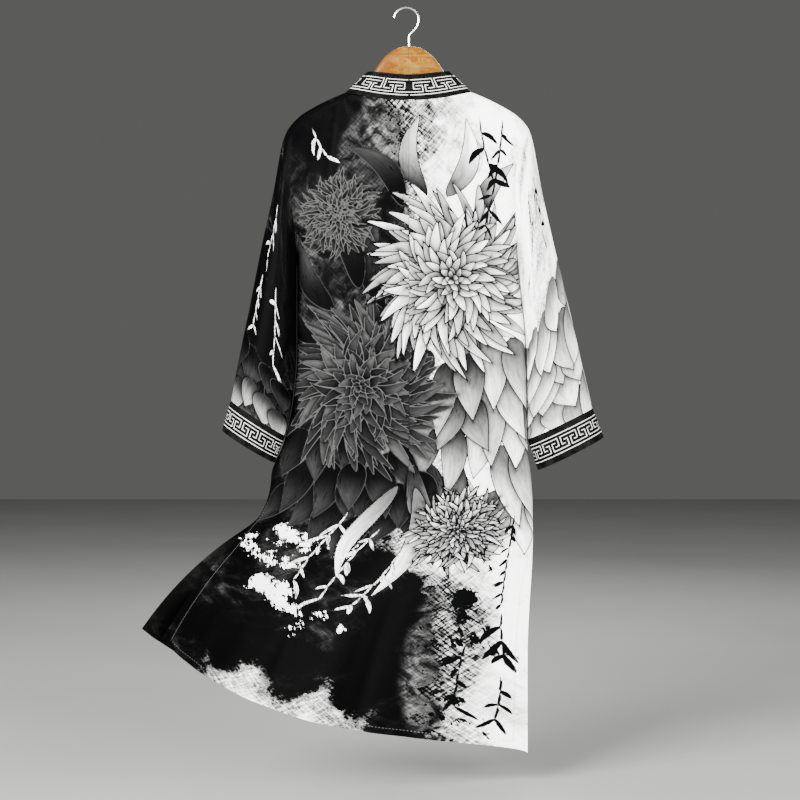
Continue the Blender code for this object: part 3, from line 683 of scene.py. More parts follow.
class Print:
    """The print on one piece of cloth, painted motif by motif."""

    def __init__(self, laid):
        self.across, self.height = laid[:, 0], laid[:, 1]
        count = len(laid)
        for name in LAYERS:
            setattr(self, name, np.full(count, -FAR))
        for name in DRAWING + ("shade",):
            setattr(self, name, np.zeros(count))
        self.gap, self.inside = np.full(count, FAR), np.full(count, FAR)
        self.code = np.zeros(count, int)
        self.painted = 0

    def lens(self, start, turn, length, width, bend, hook, blunt):
        """The points near a petal, their places along and across it, and their depth in it."""
        way = np.array([math.cos(turn), math.sin(turn)])
        reach = length / 2 + width + abs(bend) * length
        centre = np.array(start) + way * length / 2
        over, up = self.across - centre[0], self.height - centre[1]
        near = np.nonzero((np.abs(over) < reach) & (np.abs(up) < reach))[0]
        over, up = self.across[near] - start[0], self.height[near] - start[1]
        along = (over * way[0] + up * way[1]) / length
        inside = np.clip(along, 0, 1)
        curve = bend * np.sin(math.pi * inside) + hook * inside**3
        aside = up * way[0] - over * way[1] - curve * length
        profile = inside**ROOT_FULLNESS * (1 - inside) ** blunt
        peak = ROOT_FULLNESS / (ROOT_FULLNESS + blunt)
        half = width / 2 * profile / (peak**ROOT_FULLNESS * (1 - peak) ** blunt)
        ends = np.minimum(along, 1 - along) * length + END_ROUND
        depth = np.clip(np.minimum(half - np.abs(aside), ends), -FAR, FAR)
        return near, inside, np.clip(aside / np.maximum(half, TINY), -1, 1), depth

    def free_code(self, around):
        """A code that is rare among the petals beside this one."""
        used = np.bincount(self.code[around], minlength=2**CODE_BITS)
        return 1 + int(np.argmin(used[1:]))

    def petal(self, start, turn, length, width, bend, look, blunt=0.5, hook=0.0, bright=1.0):
        """Lays one petal over what is there. One of its sides lies in the lee of the light."""
        near, along, side, depth = self.lens(start, turn, length, width, bend, hook, blunt)
        beside, over = depth <= 0, depth > 0
        self.gap[near[beside]] = np.minimum(self.gap[near[beside]], -depth[beside])
        ring = near[beside & (depth > -BESIDE)]
        code = self.free_code(ring)
        self.rim[ring] = look.rim
        at, along, side = near[over], along[over], side[over]
        light = step(along * 1.3 - 0.05) * (1 - LEE_SHADE * (1 - step(0.6 - 0.6 * side)))
        self.tone[at] = look.root + (look.tip - look.root) * np.clip(light * bright, 0, 1)
        self.rim[at] = look.rim * (1 - LEE_RIM * (1 - step(0.5 + side)))
        self.shade[at], self.side[at], self.along[at] = look.shade, side, along * length
        self.gap[at], self.inside[at], self.code[at] = FAR, depth[over], code
        self.painted += 1
        self.strand[at] = self.painted * STRAND_STEP
        self.cover[near] = np.maximum(self.cover[near], depth)

    def stroke(self, start, turn, length, width, bend, ink, blunt=0.8, hook=0.0):
        """One mark of the brush, which joins the marks already there."""
        near, _, _, depth = self.lens(start, turn, length, width, bend, hook, blunt)
        layer = getattr(self, ink)
        layer[near] = np.maximum(layer[near], depth)

    def spot(self, place, radius, ink):
        layer = getattr(self, ink)
        gap = radius - np.hypot(self.across - place[0], self.height - place[1])
        np.maximum(layer, np.clip(gap, -FAR, FAR), out=layer)

    def keep(self, piece, ground):
        """Shades what lies under a petal's edge and stores the numbers on the mesh."""
        self.tone *= 1 - self.shade * np.exp(-self.gap / SHADOW)
        halo = np.where(self.cover > 0, 0, HALO * np.exp(-self.gap / HALO_REACH))
        self.wash_and_shade = np.maximum(self.wash_and_shade, halo)
        line = np.minimum(self.gap, self.inside)
        for bit in range(CODE_BITS):
            store(piece, f"line_{bit}", np.where(self.code >> bit & 1, line, -line))
        for name in LAYERS + DRAWING:
            store(piece, name, getattr(self, name))
        store(piece, "ground", ground)


print("painted numbers at each point:", CODE_BITS + len(LAYERS + DRAWING) + 1)

# %% [markdown]
# ### Motifs
#
# A bloom is rings of long curling petals, painted from the outer ring in, so that each ring lies
# on the one before. Plumes are rows of broad leaves that overlap like roof tiles. A spray is a
# thin stem of bamboo with hanging leaves, each one stroke of the brush. A splash is a run of
# blots along a bent line. A wash is a soft grey lens. Most washes are part of the print, and two
# are painted shade where the fold beside the right armhole darkens the cloth. Each has a seed
# where it needs chance, so it comes out the same each time. A turn is in degrees: 0 points to
# the right and 90 up.

# %% Blooms, plumes, sprays, splashes, washes and painted shade
Bloom = namedtuple("Bloom", "across height radius look seed")
Leaf = namedtuple("Leaf", "across height turn length width bend look")
Plume = namedtuple("Plume", "across height turn length wide rows per_row look seed")
Spray = namedtuple("Spray", "across height turn length nodes leaf_length leaf_width bend ink seed")
Splash = namedtuple("Splash", "across height turn length size blots ink seed")
WashAndShade = namedtuple("WashAndShade", "across height turn length width depth")
RINGS = [(1.0, 30), (0.92, 27), (0.82, 24), (0.70, 22), (0.58, 19), (0.46, 16), (0.34, 13)]
RINGS += [(0.23, 10), (0.14, 7), (0.08, 5)]
RING_TWIST = 5
ROOT_SHARE = 0.10
STEM_WIDTH, STEM_SHARE = 0.0037, 0.98
FAR_BLOT = 4


def paint_bloom(art, bloom):
    chance = np.random.default_rng(bloom.seed)
    for reach, count in RINGS:
        length = bloom.radius * reach
        curl = chance.choice([-1, 1])
        for number in chance.permutation(count):
            place = number + chance.uniform(-0.35, 0.35)
            turn = 2 * math.pi * place / count + reach * RING_TWIST
            root = ROOT_SHARE * bloom.radius * reach
            start = (bloom.across + math.cos(turn) * root, bloom.height + math.sin(turn) * root)
            art.petal(
                start,
                turn,
                length * chance.uniform(0.82, 1.12),
                2 * math.pi * length * 0.72 / count * chance.uniform(0.8, 1.1),
                curl * chance.uniform(0.02, 0.16),
                bloom.look,
                blunt=chance.uniform(0.6, 0.9),
                hook=-curl * chance.uniform(0.0, 0.20),
                bright=chance.uniform(0.45, 1.1),
            )


def paint_leaf(art, leaf):
    turn = math.radians(leaf.turn)
    hook = -leaf.bend * 0.8
    art.petal(leaf[:2], turn, leaf.length, leaf.width, leaf.bend, leaf.look, 0.9, hook)


def paint_plume(art, plume):
    chance = np.random.default_rng(plume.seed)
    turn = math.radians(plume.turn)
    down = np.array([math.cos(turn), math.sin(turn)])
    beside = np.array([-down[1], down[0]])
    size = plume.length / (plume.rows * 0.5)
    for row in reversed(range(plume.rows)):
        for number in chance.permutation(plume.per_row):
            place = (number + 0.5 + 0.5 * (row % 2) + chance.uniform(-0.1, 0.1)) / plume.per_row
            spread = place - 0.5
            start = np.array(plume[:2]) + beside * spread * plume.wide
            lag = row + chance.uniform(-0.25, 0.25)
            start = start + down * plume.length * lag / plume.rows
            art.petal(
                start,
                turn + spread * 0.7 + chance.uniform(-0.12, 0.12),
                size * chance.uniform(0.85, 1.2),
                plume.wide / plume.per_row * chance.uniform(1.3, 1.8),
                chance.uniform(-0.08, 0.08),
                plume.look,
                blunt=1.1,
                hook=chance.uniform(-0.10, 0.10),
                bright=chance.uniform(0.65, 1.1),
            )


def paint_spray(art, spray):
    chance = np.random.default_rng(spray.seed)
    place = np.array([spray.across, spray.height])
    turn = math.radians(spray.turn)
    gap = spray.length / spray.nodes
    for number in range(spray.nodes):
        turn += math.radians(spray.bend) / spray.nodes
        way = np.array([math.cos(turn), math.sin(turn)])
        art.stroke(place, turn, gap * STEM_SHARE, STEM_WIDTH, 0.03, spray.ink, blunt=0.2)
        place = place + way * gap
        for _ in range(chance.integers(1, 3)):
            spread = chance.choice([-1, 1]) * chance.uniform(0.40, 1.15)
            art.stroke(
                place,
                turn + spread,
                spray.leaf_length * chance.uniform(0.5, 1.15),
                spray.leaf_width * chance.uniform(0.7, 1.2),
                chance.uniform(-0.08, 0.08),
                spray.ink,
                hook=-0.12 * np.sign(spread),
            )


def paint_splash(art, splash):
    chance = np.random.default_rng(splash.seed)
    turn = math.radians(splash.turn)
    for number in range(splash.blots):
        part = number / max(splash.blots - 1, 1)
        away = 1.6 if number % FAR_BLOT == 0 else 0.3
        thrown = chance.normal(0, 1, 2) * splash.size * away
        place = (
            splash.across + math.cos(turn + part) * splash.length * part + thrown[0],
            splash.height + math.sin(turn + part) * splash.length * part + thrown[1],
        )
        radius = splash.size * chance.uniform(0.1, 1.0) ** 2 * (1.2 - part)
        art.spot(place, radius, splash.ink)


def paint_wash_and_shade(art, wash_and_shade):
    turn = math.radians(wash_and_shade.turn)
    near, _, _, depth = art.lens(wash_and_shade[:2], turn, wash_and_shade.length, wash_and_shade.width, 0, 0, ROOT_FULLNESS)
    soft = wash_and_shade.depth * step(depth / min(wash_and_shade.width / 2, FAR))
    art.wash_and_shade[near] = np.maximum(art.wash_and_shade[near], soft)


MAKERS = {
    Bloom: paint_bloom,
    Leaf: paint_leaf,
    Plume: paint_plume,
    Spray: paint_spray,
    Splash: paint_splash,
    WashAndShade: paint_wash_and_shade,
}


def print_on(piece, laid, motifs, ground):
    art = Print(laid)
    for motif in motifs:
        MAKERS[type(motif)](art, motif)
    art.keep(piece, ground)


print("petals in a bloom:", sum(count for _, count in RINGS))

# %% [markdown]
# ### The layout
#
# Black cloth covers the wearer's left and white cloth the right, and a ragged wash divides them.
# A pale bloom opens right of the seam and a dark one left of it and lower, with long leaves
# round both, and a smaller bloom of each kind stands further off. The tables say where, in
# metres on the flat cloth: across from the centre seam, and height from the hook. A row lies
# over the rows before it.
#
# The shore is the line where the two grounds meet. Along the hem the white runs on under the
# black, in low waves. A front or a sleeve has one ground all over.

# %% Motifs of the back
BACK_MOTIFS = [
    Leaf(0.030, -0.350, 100, 0.150, 0.036, 0.14, GREY_LEAF),
    Leaf(0.070, -0.350, 70, 0.150, 0.038, -0.12, PALE_LEAF),
    Leaf(0.130, -0.390, 62, 0.120, 0.034, 0.10, GREY_LEAF),
    Leaf(-0.010, -0.370, 128, 0.150, 0.038, -0.12, DARK_LEAF),
    Leaf(-0.040, -0.560, 100, 0.170, 0.040, 0.12, DARK_LEAF),
    Leaf(-0.090, -0.520, 116, 0.170, 0.042, -0.10, DARK_LEAF),
    Leaf(-0.140, -0.560, 120, 0.150, 0.040, 0.10, DARK_LEAF),
    Leaf(-0.170, -0.620, 132, 0.120, 0.036, 0.10, DARK_LEAF),
    Plume(0.150, -0.600, -80, 0.340, 0.120, 5, 3, PALE_LEAF, 101),
    Plume(0.075, -0.640, -104, 0.250, 0.100, 4, 3, GREY_LEAF, 103),
    Plume(-0.150, -0.780, -104, 0.160, 0.110, 3, 3, DARK_LEAF, 105),
    Plume(-0.060, -0.820, -76, 0.150, 0.110, 3, 3, DARK_LEAF, 107),
    Leaf(0.005, -0.840, -62, 0.170, 0.040, -0.12, GREY_LEAF),
    Leaf(0.012, -0.880, -88, 0.230, 0.036, 0.10, PALE_LEAF),
    Leaf(-0.020, -0.880, -106, 0.210, 0.034, -0.12, PALE_LEAF),
    Bloom(-0.088, -0.700, 0.152, DARK_PETAL, 11),
    Bloom(-0.128, -0.385, 0.072, DARK_PETAL, 31),
    Bloom(0.078, -0.500, 0.155, PALE_PETAL, 23),
    Bloom(0.100, -0.960, 0.080, PALE_PETAL, 47),
    Spray(-0.182, -0.225, -70, 0.06, 3, 0.034, 0.0064, 14, "pale", 3),
    Spray(-0.030, -0.960, -112, 0.18, 6, 0.040, 0.0070, 16, "pale", 5),
    Spray(-0.100, -0.930, -104, 0.18, 6, 0.040, 0.0070, 12, "pale", 7),
    Spray(0.020, -1.010, -100, 0.13, 5, 0.034, 0.0064, -12, "pale", 9),
    WashAndShade(-0.005, -0.100, -88, 0.20, 0.19, 1.2),
    WashAndShade(0.140, -1.000, -92, 0.30, 0.12, 0.8),
    WashAndShade(0.108, -1.030, -90, 0.34, 0.09, 1.0),
    WashAndShade(0.060, -0.175, -70, 0.16, 0.12, 0.7),
    # Painted shade: a narrow grey band down the right edge beside the armhole, where the fold
    # between body and sleeve is in shade.
    WashAndShade(0.196, -0.230, -84, 0.16, 0.05, 0.8),
    WashAndShade(-0.120, -0.440, -80, 0.16, 0.10, 0.5),
    WashAndShade(-0.050, -0.170, -102, 0.22, 0.14, 0.5),
    WashAndShade(-0.190, -0.900, -80, 0.24, 0.12, 0.35),
    Spray(0.176, -0.205, -96, 0.20, 7, 0.034, 0.0064, -8, "dark", 13),
    Spray(0.132, -0.200, -88, 0.12, 4, 0.050, 0.0100, 14, "dark", 15),
    Spray(0.197, -0.930, -95, 0.17, 8, 0.024, 0.0060, 4, "dark", 17),
    Spray(0.148, -1.180, -98, 0.12, 5, 0.036, 0.0078, 10, "dark", 33),
    Spray(0.190, -1.115, -92, 0.08, 3, 0.040, 0.0090, 10, "dark", 35),
    Spray(0.194, -1.235, -86, 0.08, 3, 0.034, 0.0078, -10, "dark", 37),
    Splash(-0.185, -0.985, -66, 0.13, 0.018, 26, "foam", 2),
    Splash(-0.235, -1.020, -84, 0.12, 0.008, 40, "foam", 22),
    Splash(-0.150, -1.130, -78, 0.10, 0.017, 20, "foam", 4),
    Splash(0.140, -1.085, -116, 0.13, 0.017, 40, "pool", 6),
    Splash(0.122, -1.310, -70, 0.05, 0.012, 20, "pool", 8),
]
Shore = namedtuple("Shore", "height across")
SHORE = [
    Shore(-0.150, -0.052),
    Shore(-0.200, -0.040),
    Shore(-0.250, -0.030),
    Shore(-0.310, -0.012),
    Shore(-0.420, 0.004),
    Shore(-0.560, -0.030),
    Shore(-0.700, 0.024),
    Shore(-0.860, -0.012),
    Shore(-1.000, -0.010),
    Shore(-1.060, 0.060),
    Shore(-1.120, 0.100),
    Shore(-1.240, 0.122),
    Shore(-1.370, 0.118),
]
HEM_WASH_Z = -1.325
HEM_WASH_LEFT, HEM_WASH_RIGHT = -0.17, 0.03
WAVE_HEIGHT, WAVE_PITCH, WAVE_TOP = 0.03, 60, 0.05
SHORE_REACH = 0.25
ALL_ONE_GROUND = 0.20


def ground_of(laid):
    """How far each point lies inside the white ground: less than 0 on the black."""
    across, height = laid[:, 0], laid[:, 1]
    white = across - read(SHORE, "across", height)
    wave = WAVE_HEIGHT * np.cos((across - HEM_WASH_LEFT - WAVE_TOP) * WAVE_PITCH)
    wash = (HEM_WASH_Z - height) + wave
    wash = np.minimum(wash, np.minimum(across - HEM_WASH_LEFT, HEM_WASH_RIGHT - across))
    return np.clip(np.maximum(white, wash), -SHORE_REACH, SHORE_REACH)


print(len(BACK_MOTIFS), "motifs on the back")

# %% [markdown]
# ### The printed satin
#
# The material reads the numbers back. It clouds the two grounds with noise, cuts the brush marks
# with a ragged edge, lays the motif over them, and at last turns the tone into a colour. Tones
# run from 0 for ink to 1 for bare silk. Satin is smooth and takes a soft broad gloss, and a fine
# weave shows only close up.
#
# The washes are hatched, as if a dry brush had crossed them twice, so two rows of streaks cross
# at a right angle. Four more noises are shared by all that is ragged here, from broad clouds down
# to the grain of the ink. `wander` says how many metres a noise moves an edge to and fro, and a
# pair such as SOFT how wide that edge is.
#
# The hem and the slits are turned in and held by a row of small stitches, and the seams show as
# fine grooves, with painted shade along them. The inside of the cloth has the two grounds alone,
# and dimmer.

# %% A printed satin
INK = (0.0006, 0.0006, 0.0007, 1.0)
SILK = (0.96, 0.96, 0.945, 1.0)
TONE_POWER = 2.2
DULL = 0.008
OUTLINE = 0.0010
HEM_TURN, STITCH_PITCH, STITCH_HALF = 0.012, 0.0042, 0.0006
SHORE_SHARPNESS = 190
INK_TONE, STITCH_TONE = 0.010, 0.42
SOFT, CLEAN, CRISP = (-0.0004, 0.0008), (-0.0004, 0.0006), (-0.0003, 0.0005)
BROAD = Noise(6.0, 5.0, 0.62, 0.6)
CLOUD = Noise(22.0, 6.0, 0.66, 1.2)
RAG = Noise(62.0, 4.0, 0.6, 0.8)
GRAIN = Noise(190.0, 3.0, 0.7)
STRANDS = Noise(1.0, 4.0, 0.62)
HATCH_ONE = Streaks((36.0, 260.0, 1.0), 40, 3.0, 0.7)
HATCH_TWO = Streaks((36.0, 260.0, 1.0), -50, 3.0, 0.7)
BRUSH = Streaks((40.0, 240.0, 1.0), 62, 3.0, 0.65)
THREADS = Streaks((900.0, 2600.0, 1.0), 0, 1.0)


def wander(noise, metres):
    return (noise - 0.5) * metres


def grounds(made, flat):
    """The washed black and white grounds, and the noises that the print shares with them."""
    broad, cloud, rag, grain = [made.noise(flat, row) for row in (BROAD, CLOUD, RAG, GRAIN)]
    one, two = made.streaks(flat, HATCH_ONE), made.streaks(flat, HATCH_TWO)
    hatch = one.step(0.38, 0.62) + two.step(0.38, 0.62)
    shore = made.value("ground") + wander(broad, 0.20) + wander(cloud, 0.09) + wander(rag, 0.05)
    white = (shore + wander(grain, 0.03) + (hatch - 1.0) * 0.015).step(-0.008, 0.012)
    between = 1 - (shore * shore * SHORE_SHARPNESS).step(0.0, 1.0)
    # The washes grey the white ground and lift the black one. So does the painted shade of the
    # folds beside the right armhole.
    wash_and_shade = made.value("wash_and_shade") * cloud.step(0.30, 0.62)
    charcoal = 0.006 + broad.step(0.42, 0.68) * cloud.step(0.36, 0.70) * 0.17 + wash_and_shade * 0.26
    smoke = broad.step(0.50, 0.68) * 0.30 + cloud.step(0.54, 0.76) * 0.22
    smoke = smoke * (0.35 + hatch * 0.65) + between * hatch * 0.42 + wash_and_shade * (0.22 + hatch * 0.28)
    ground = (charcoal * (0.55 + hatch * 0.45)).toward(0.99 - smoke, white)
    return ground, cloud, rag, grain, hatch


def outlines(made):
    """1 on the edge of each petal, which is where one of the line numbers changes its sign."""
    drawn = 0.0
    for bit in range(CODE_BITS):
        away = made.value(f"line_{bit}") / OUTLINE
        here = 1 - (away * away).step(0.25, 1.0)
        drawn = here.sum("MAXIMUM", here, drawn)
    return drawn


def stitches(made, flat):
    """A row of short stitches along the turned hem and the edges of the slits."""
    place = made.node("ShaderNodeSeparateXYZ", {}, (flat,))
    down = made.node("ShaderNodeSeparateXYZ", {}, (flat,), output=1)
    phase = (place + down) * (2 * math.pi / STITCH_PITCH)
    row = (made.value("border") - HEM_TURN) / STITCH_HALF
    return (1 - (row * row).step(0.3, 1.0)) * phase.sum("SINE", phase)


def petals(made, cloud, hatch):
    """The tone of the motifs, with fine strands that run along each petal."""
    inputs = {0: made.value("along") * 26.0, 1: made.value("side") * 3.4, 2: made.value("strand")}
    strands = made.noise(made.node("ShaderNodeCombineXYZ", {}, inputs), STRANDS)
    drawn = made.value("tone") * (0.44 + strands * 0.94) - strands.step(0.56, 0.70) * 0.10
    return drawn * (0.80 + cloud * 0.36) * (0.97 + hatch * 0.03)


def printed_satin(name):
    made = Finish(name, Specular_IOR_Level=DULL)
    flat = made.on_cloth()
    ground, cloud, rag, grain, hatch = grounds(made, flat)

    brush = made.streaks(flat, BRUSH)
    torn = wander(cloud, 0.030) + wander(rag, 0.030) + wander(brush, 0.034) + wander(grain, 0.008)
    foam = (made.value("foam") + torn).step(*SOFT)
    pool = (made.value("pool") + torn).step(*SOFT)
    ground = ground.toward(0.90 + (cloud - 0.5) * 0.2, foam).toward(INK_TONE, pool)

    cover = (made.value("cover") + wander(grain, 0.0006)).step(*CRISP)
    tone = ground.toward(petals(made, cloud, hatch), cover)
    tone = tone.toward(made.value("rim"), outlines(made))

    fine = wander(grain, 0.0026) + wander(cloud, 0.002)
    pale = (made.value("pale") + fine).step(*CLEAN)
    dark = (made.value("dark") + fine).step(*CLEAN)
    tone = tone.toward(0.40 + brush.step(0.35, 0.6) * 0.5, pale).toward(INK_TONE, dark)

    # Painted shade: the tone is a quarter darker along each seam, as if shaded in its groove, and
    # the bump also dents it.
    seam = 1 - made.value("seam").step(0.0003, 0.0012)
    sewn = stitches(made, flat)
    tone = (tone * (1 - seam * 0.25)).toward(STITCH_TONE, sewn.step(0.0, 0.4) * 0.7)
    tone = tone.sum("MAXIMUM", tone, 0.0)
    threads = made.streaks(flat, THREADS)
    turned = 1 - made.value("border").step(HEM_TURN - 0.0004, HEM_TURN + 0.0004)
    return made.wear(
        Base_Color=made.blend(tone**TONE_POWER, INK, SILK),
        Roughness=0.50 + (grain - 0.5) * 0.10,
        Normal=made.bump(threads * 0.35 + grain * 0.65 + (turned - seam) * 2.0, 0.00025, 0.35),
    )


def satin_reverse(name):
    """The wrong side: the grounds show through it dimly, and no motif does."""
    made = Finish(name, Specular_IOR_Level=DULL)
    ground, _, _, grain, _ = grounds(made, made.on_cloth())
    tone = 0.06 + ground * 0.60
    return made.wear(
        Base_Color=made.blend(tone**TONE_POWER, INK, SILK),
        Roughness=0.55 + (grain - 0.5) * 0.10,
    )


def sewing(piece, laid, side_edge=None, seam=None):
    """Stores how far each point lies from a turned edge and from a seam, both up to FAR."""
    border = np.full(len(laid), FAR)
    if side_edge is not None:
        side = np.interp(-laid[:, 1], -side_edge[:, 1], side_edge[:, 0])
        slit = np.where(laid[:, 1] < SLIT_Z, np.abs(side - laid[:, 0]), FAR)
        border = np.minimum(slit, laid[:, 1] - HEM_Z)
    store(piece, "border", np.clip(border, 0, FAR))
    store(piece, "seam", np.full(len(laid), FAR) if seam is None else np.clip(seam, 0, FAR))


satin = (printed_satin("printed satin"), satin_reverse("back of the satin"))
print("finishes:", ", ".join(finish.name for finish in satin))

# %% [markdown]
# ## The back
#
# The back is two panels, joined by a seam down the centre. Both come from one grid of points, so
# they meet exactly, and the print on the right panel sits a few millimetres lower, as it does
# when two printed panels are sewn by hand.

# %% The back's two panels
NECK_FINE, SHOULDER_FINE = 60, 60
ARMHOLE_FINE, SIDE_FINE, SLIT_FINE = 160, 232, 232
SEAM_SHIFT = 0.0035
neck_across = np.linspace(0, NECK_SHARE, NECK_FINE + 1)
spread = np.linspace(0, 1, SHOULDER_FINE + 1)
out_fine = 0.55 * spread + 0.45 * np.sin(spread * math.pi / 2)
half_across = np.concatenate([neck_across, (NECK_SHARE + (1 - NECK_SHARE) * out_fine)[1:]])


def levels(armhole, side, slit):
    parts = [np.linspace(0, 1, armhole + 1), np.linspace(1, 2, side + 1)[1:]]
    return np.concatenate(parts + [np.linspace(2, 3, slit + 1)[1:]])


def seam_places(shoulder_from, armhole, side):
    """Where back and front meet: along the shoulder, and down the side as far as the slit."""
    shoulder = (slice(0, 1), slice(shoulder_from, None))
    side_seam = (slice(armhole, armhole + side + 1), slice(-1, None))
    return [(shoulder, 1), (side_seam, 1)]


fine_levels = levels(ARMHOLE_FINE, SIDE_FINE, SLIT_FINE)
whole_across = np.concatenate([-half_across[:0:-1], half_across])
back_grid, back_flat = back_points(whole_across, fine_levels)
seams = seam_places(NECK_FINE, ARMHOLE_FINE, SIDE_FINE)
sheets = {}
for side, name in SIDES:
    columns = len(half_across) - 1 + side * np.arange(len(half_across))
    grid, flat = back_grid[:, columns], back_flat[:, columns]
    panel, laid = shell(f"back_panel_{name}", grid, side, flat, satin, flatten=seams)
    sewing(panel, laid, flat[:, -1], np.abs(laid[:, 0]))
    if side > 0:
        laid = laid + (0, SEAM_SHIFT)
    print_on(panel, laid, BACK_MOTIFS, ground_of(laid))
    sheets[f"back_{name}"] = panel
    print(panel.name, len(panel.data.polygons), "faces")

# %% [markdown]
# ## The fronts
#
# The wearer's two fronts face away from the camera of the main picture. They are cut like the
# back, and open down the middle. They carry the same grounds and fewer motifs.

# %% The two fronts
FRONT_MOTIFS = {
    "left": [
        Plume(-0.150, -0.560, -96, 0.250, 0.120, 6, 4, DARK_LEAF, 50),
        Bloom(-0.150, -0.520, 0.092, DARK_PETAL, 51),
        Spray(-0.150, -0.220, -84, 0.18, 10, 0.030, 0.0056, 12, "pale", 53),
        Spray(-0.160, -0.880, -96, 0.28, 14, 0.030, 0.0054, -10, "pale", 55),
        Splash(-0.190, -1.150, -70, 0.14, 0.015, 30, "foam", 57),
    ],
    "right": [
        Plume(0.150, -0.700, -88, 0.260, 0.120, 6, 4, PALE_LEAF, 60),
        Bloom(0.150, -0.660, 0.095, PALE_PETAL, 61),
        Spray(0.160, -0.215, -92, 0.22, 12, 0.030, 0.0056, -12, "dark", 63),
        Spray(0.160, -1.020, -86, 0.24, 12, 0.030, 0.0054, 10, "dark", 65),
        Splash(0.180, -1.250, -120, 0.10, 0.014, 30, "pool", 67),
    ],
}
FRONT_COLUMNS = 80
front_levels = levels(ARMHOLE_FINE // 2, SIDE_FINE // 2, SLIT_FINE // 2)
front_spread = np.linspace(0, 1, FRONT_COLUMNS + 1)
front_out = 0.5 * front_spread + 0.5 * np.sin(front_spread * math.pi / 2)
seams = seam_places(0, ARMHOLE_FINE // 2, SIDE_FINE // 2)
for side, name in SIDES:
    grid, flat = front_points(side, front_out, front_levels)
    panel, laid = shell(f"front_panel_{name}", grid, -side, flat, satin, flatten=seams)
    sewing(panel, laid, flat[:, -1])
    print_on(panel, laid, FRONT_MOTIFS[name], np.full(len(laid), side * ALL_ONE_GROUND))
    sheets[f"front_{name}"] = panel
    print(panel.name, len(panel.data.polygons), "faces")

# %% [markdown]
# ## The sleeves
#
# A sleeve is a flattened tube. Its first ring is the armhole itself, point for point, and the
# rings after it slide down and out to the cuff. Its creases are laid along the tube and follow
# the elbow. Laid flat, a sleeve is measured round from its outer fold and down from the shoulder.

# %% Sleeve motifs
SLEEVE_MOTIFS = {
    "right": [
        Plume(0.130, -0.255, -84, 0.270, 0.250, 5, 5, PALE_LEAF, 71),
        Plume(-0.130, -0.290, -90, 0.230, 0.240, 4, 5, PALE_LEAF, 74),
        # Painted shade: a grey band on the sleeve along the armhole seam, from the shoulder down,
        # where the cloth folds into the sleeve.
        WashAndShade(0.015, -0.014, -4, 0.150, 0.034, 1.0),
        WashAndShade(0.090, -0.060, -84, 0.26, 0.14, 0.7),
        Spray(0.056, -0.060, -80, 0.13, 4, 0.034, 0.0070, -10, "dark", 73),
        Splash(0.110, -0.070, -96, 0.12, 0.005, 40, "pool", 75),
        Spray(-0.100, -0.060, -90, 0.20, 10, 0.028, 0.0052, 10, "dark", 76),
    ],
    "left": [
        Plume(-0.130, -0.400, -90, 0.130, 0.240, 4, 6, DARK_LEAF, 81),
        Plume(0.130, -0.330, -90, 0.200, 0.240, 5, 6, DARK_LEAF, 82),
        Plume(-0.110, -0.470, -90, 0.070, 0.170, 2, 5, GREY_LEAF, 86),
        Plume(0.110, -0.470, -90, 0.070, 0.170, 2, 5, GREY_LEAF, 88),
        Leaf(-0.035, -0.045, -40, 0.080, 0.012, 0.10, DARK_LEAF),
        Leaf(-0.060, -0.175, -30, 0.080, 0.014, 0.10, DARK_LEAF),
        Spray(-0.070, -0.110, -92, 0.12, 4, 0.030, 0.0060, 12, "pale", 83),
        Spray(-0.115, -0.230, -98, 0.16, 5, 0.036, 0.0066, 10, "pale", 84),
        Spray(-0.050, -0.270, -84, 0.10, 4, 0.024, 0.0050, -8, "pale", 85),
        Splash(-0.060, -0.480, -90, 0.06, 0.008, 24, "foam", 87),
        Spray(0.090, -0.090, -94, 0.22, 9, 0.032, 0.0072, 8, "pale", 89),
    ],
}
print({name: len(rows) for name, rows in SLEEVE_MOTIFS.items()}, "sleeve motifs")


# %% The sleeves' surfaces
SLEEVE_FINE = 252
CROWDING = 1.15
ARMHOLE_PULL = 3
END_FADE = 0.06
CLEARANCE_FADE = 0.05


def ring_line(outer, outer_z, inner, inner_z, half_depth, side, turn):
    middle_x, middle_z = (outer + inner) / 2, (outer_z + inner_z) / 2
    x = MIDDLE + side * (middle_x + (outer - inner) / 2 * np.cos(turn))
    z = middle_z + (outer_z - inner_z) / 2 * np.cos(turn)
    return np.stack([x, -half_depth * np.sin(turn), z], axis=-1)


def sleeve_rings(side, armhole, sections):
    """The first ring lies on the armhole, and its pull on the rings after it dies away."""
    turn = np.linspace(0, 2 * math.pi, 2 * ARMHOLE_FINE, endpoint=False)
    rings = []
    for along in np.linspace(0, 1, SLEEVE_FINE + 1) ** CROWDING:
        outer, outer_z = read(sections, "outer", along), read(sections, "outer_z", along)
        inner_z = read(sections, "inner_z", along)
        inner = half_width(side, inner_z) + SLEEVE_CLEARANCE * step(along / CLEARANCE_FADE)
        depth = read(sections, "half_depth", along)
        ring = ring_line(outer, outer_z, inner, inner_z, depth, side, turn)
        if not rings:
            pull = armhole - ring
        rings.append(ring + pull * (1 - along) ** ARMHOLE_PULL)
    return np.array(rings)


def sleeve_creases(rings, outward, rows):
    """Pushes the creases in along the cloth's own normals, less at both ends of the sleeve."""
    around = np.arange(rings.shape[1]) / rings.shape[1]
    along = np.linspace(0, 1, len(rings))[:, None]
    push = np.zeros(rings.shape[:2])
    for fold in rows:
        part = np.clip((along - fold.start) / (fold.end - fold.start), 0, 1)
        away = (around - fold.turn - (fold.end_turn - fold.turn) * part) / fold.half_width
        push += fold.depth * np.sin(math.pi * part) * trough(away)
    push *= step(along / END_FADE) * step((1 - along) / END_FADE)
    return rings - push[..., None] * grid_normals(rings, outward, ring=True)


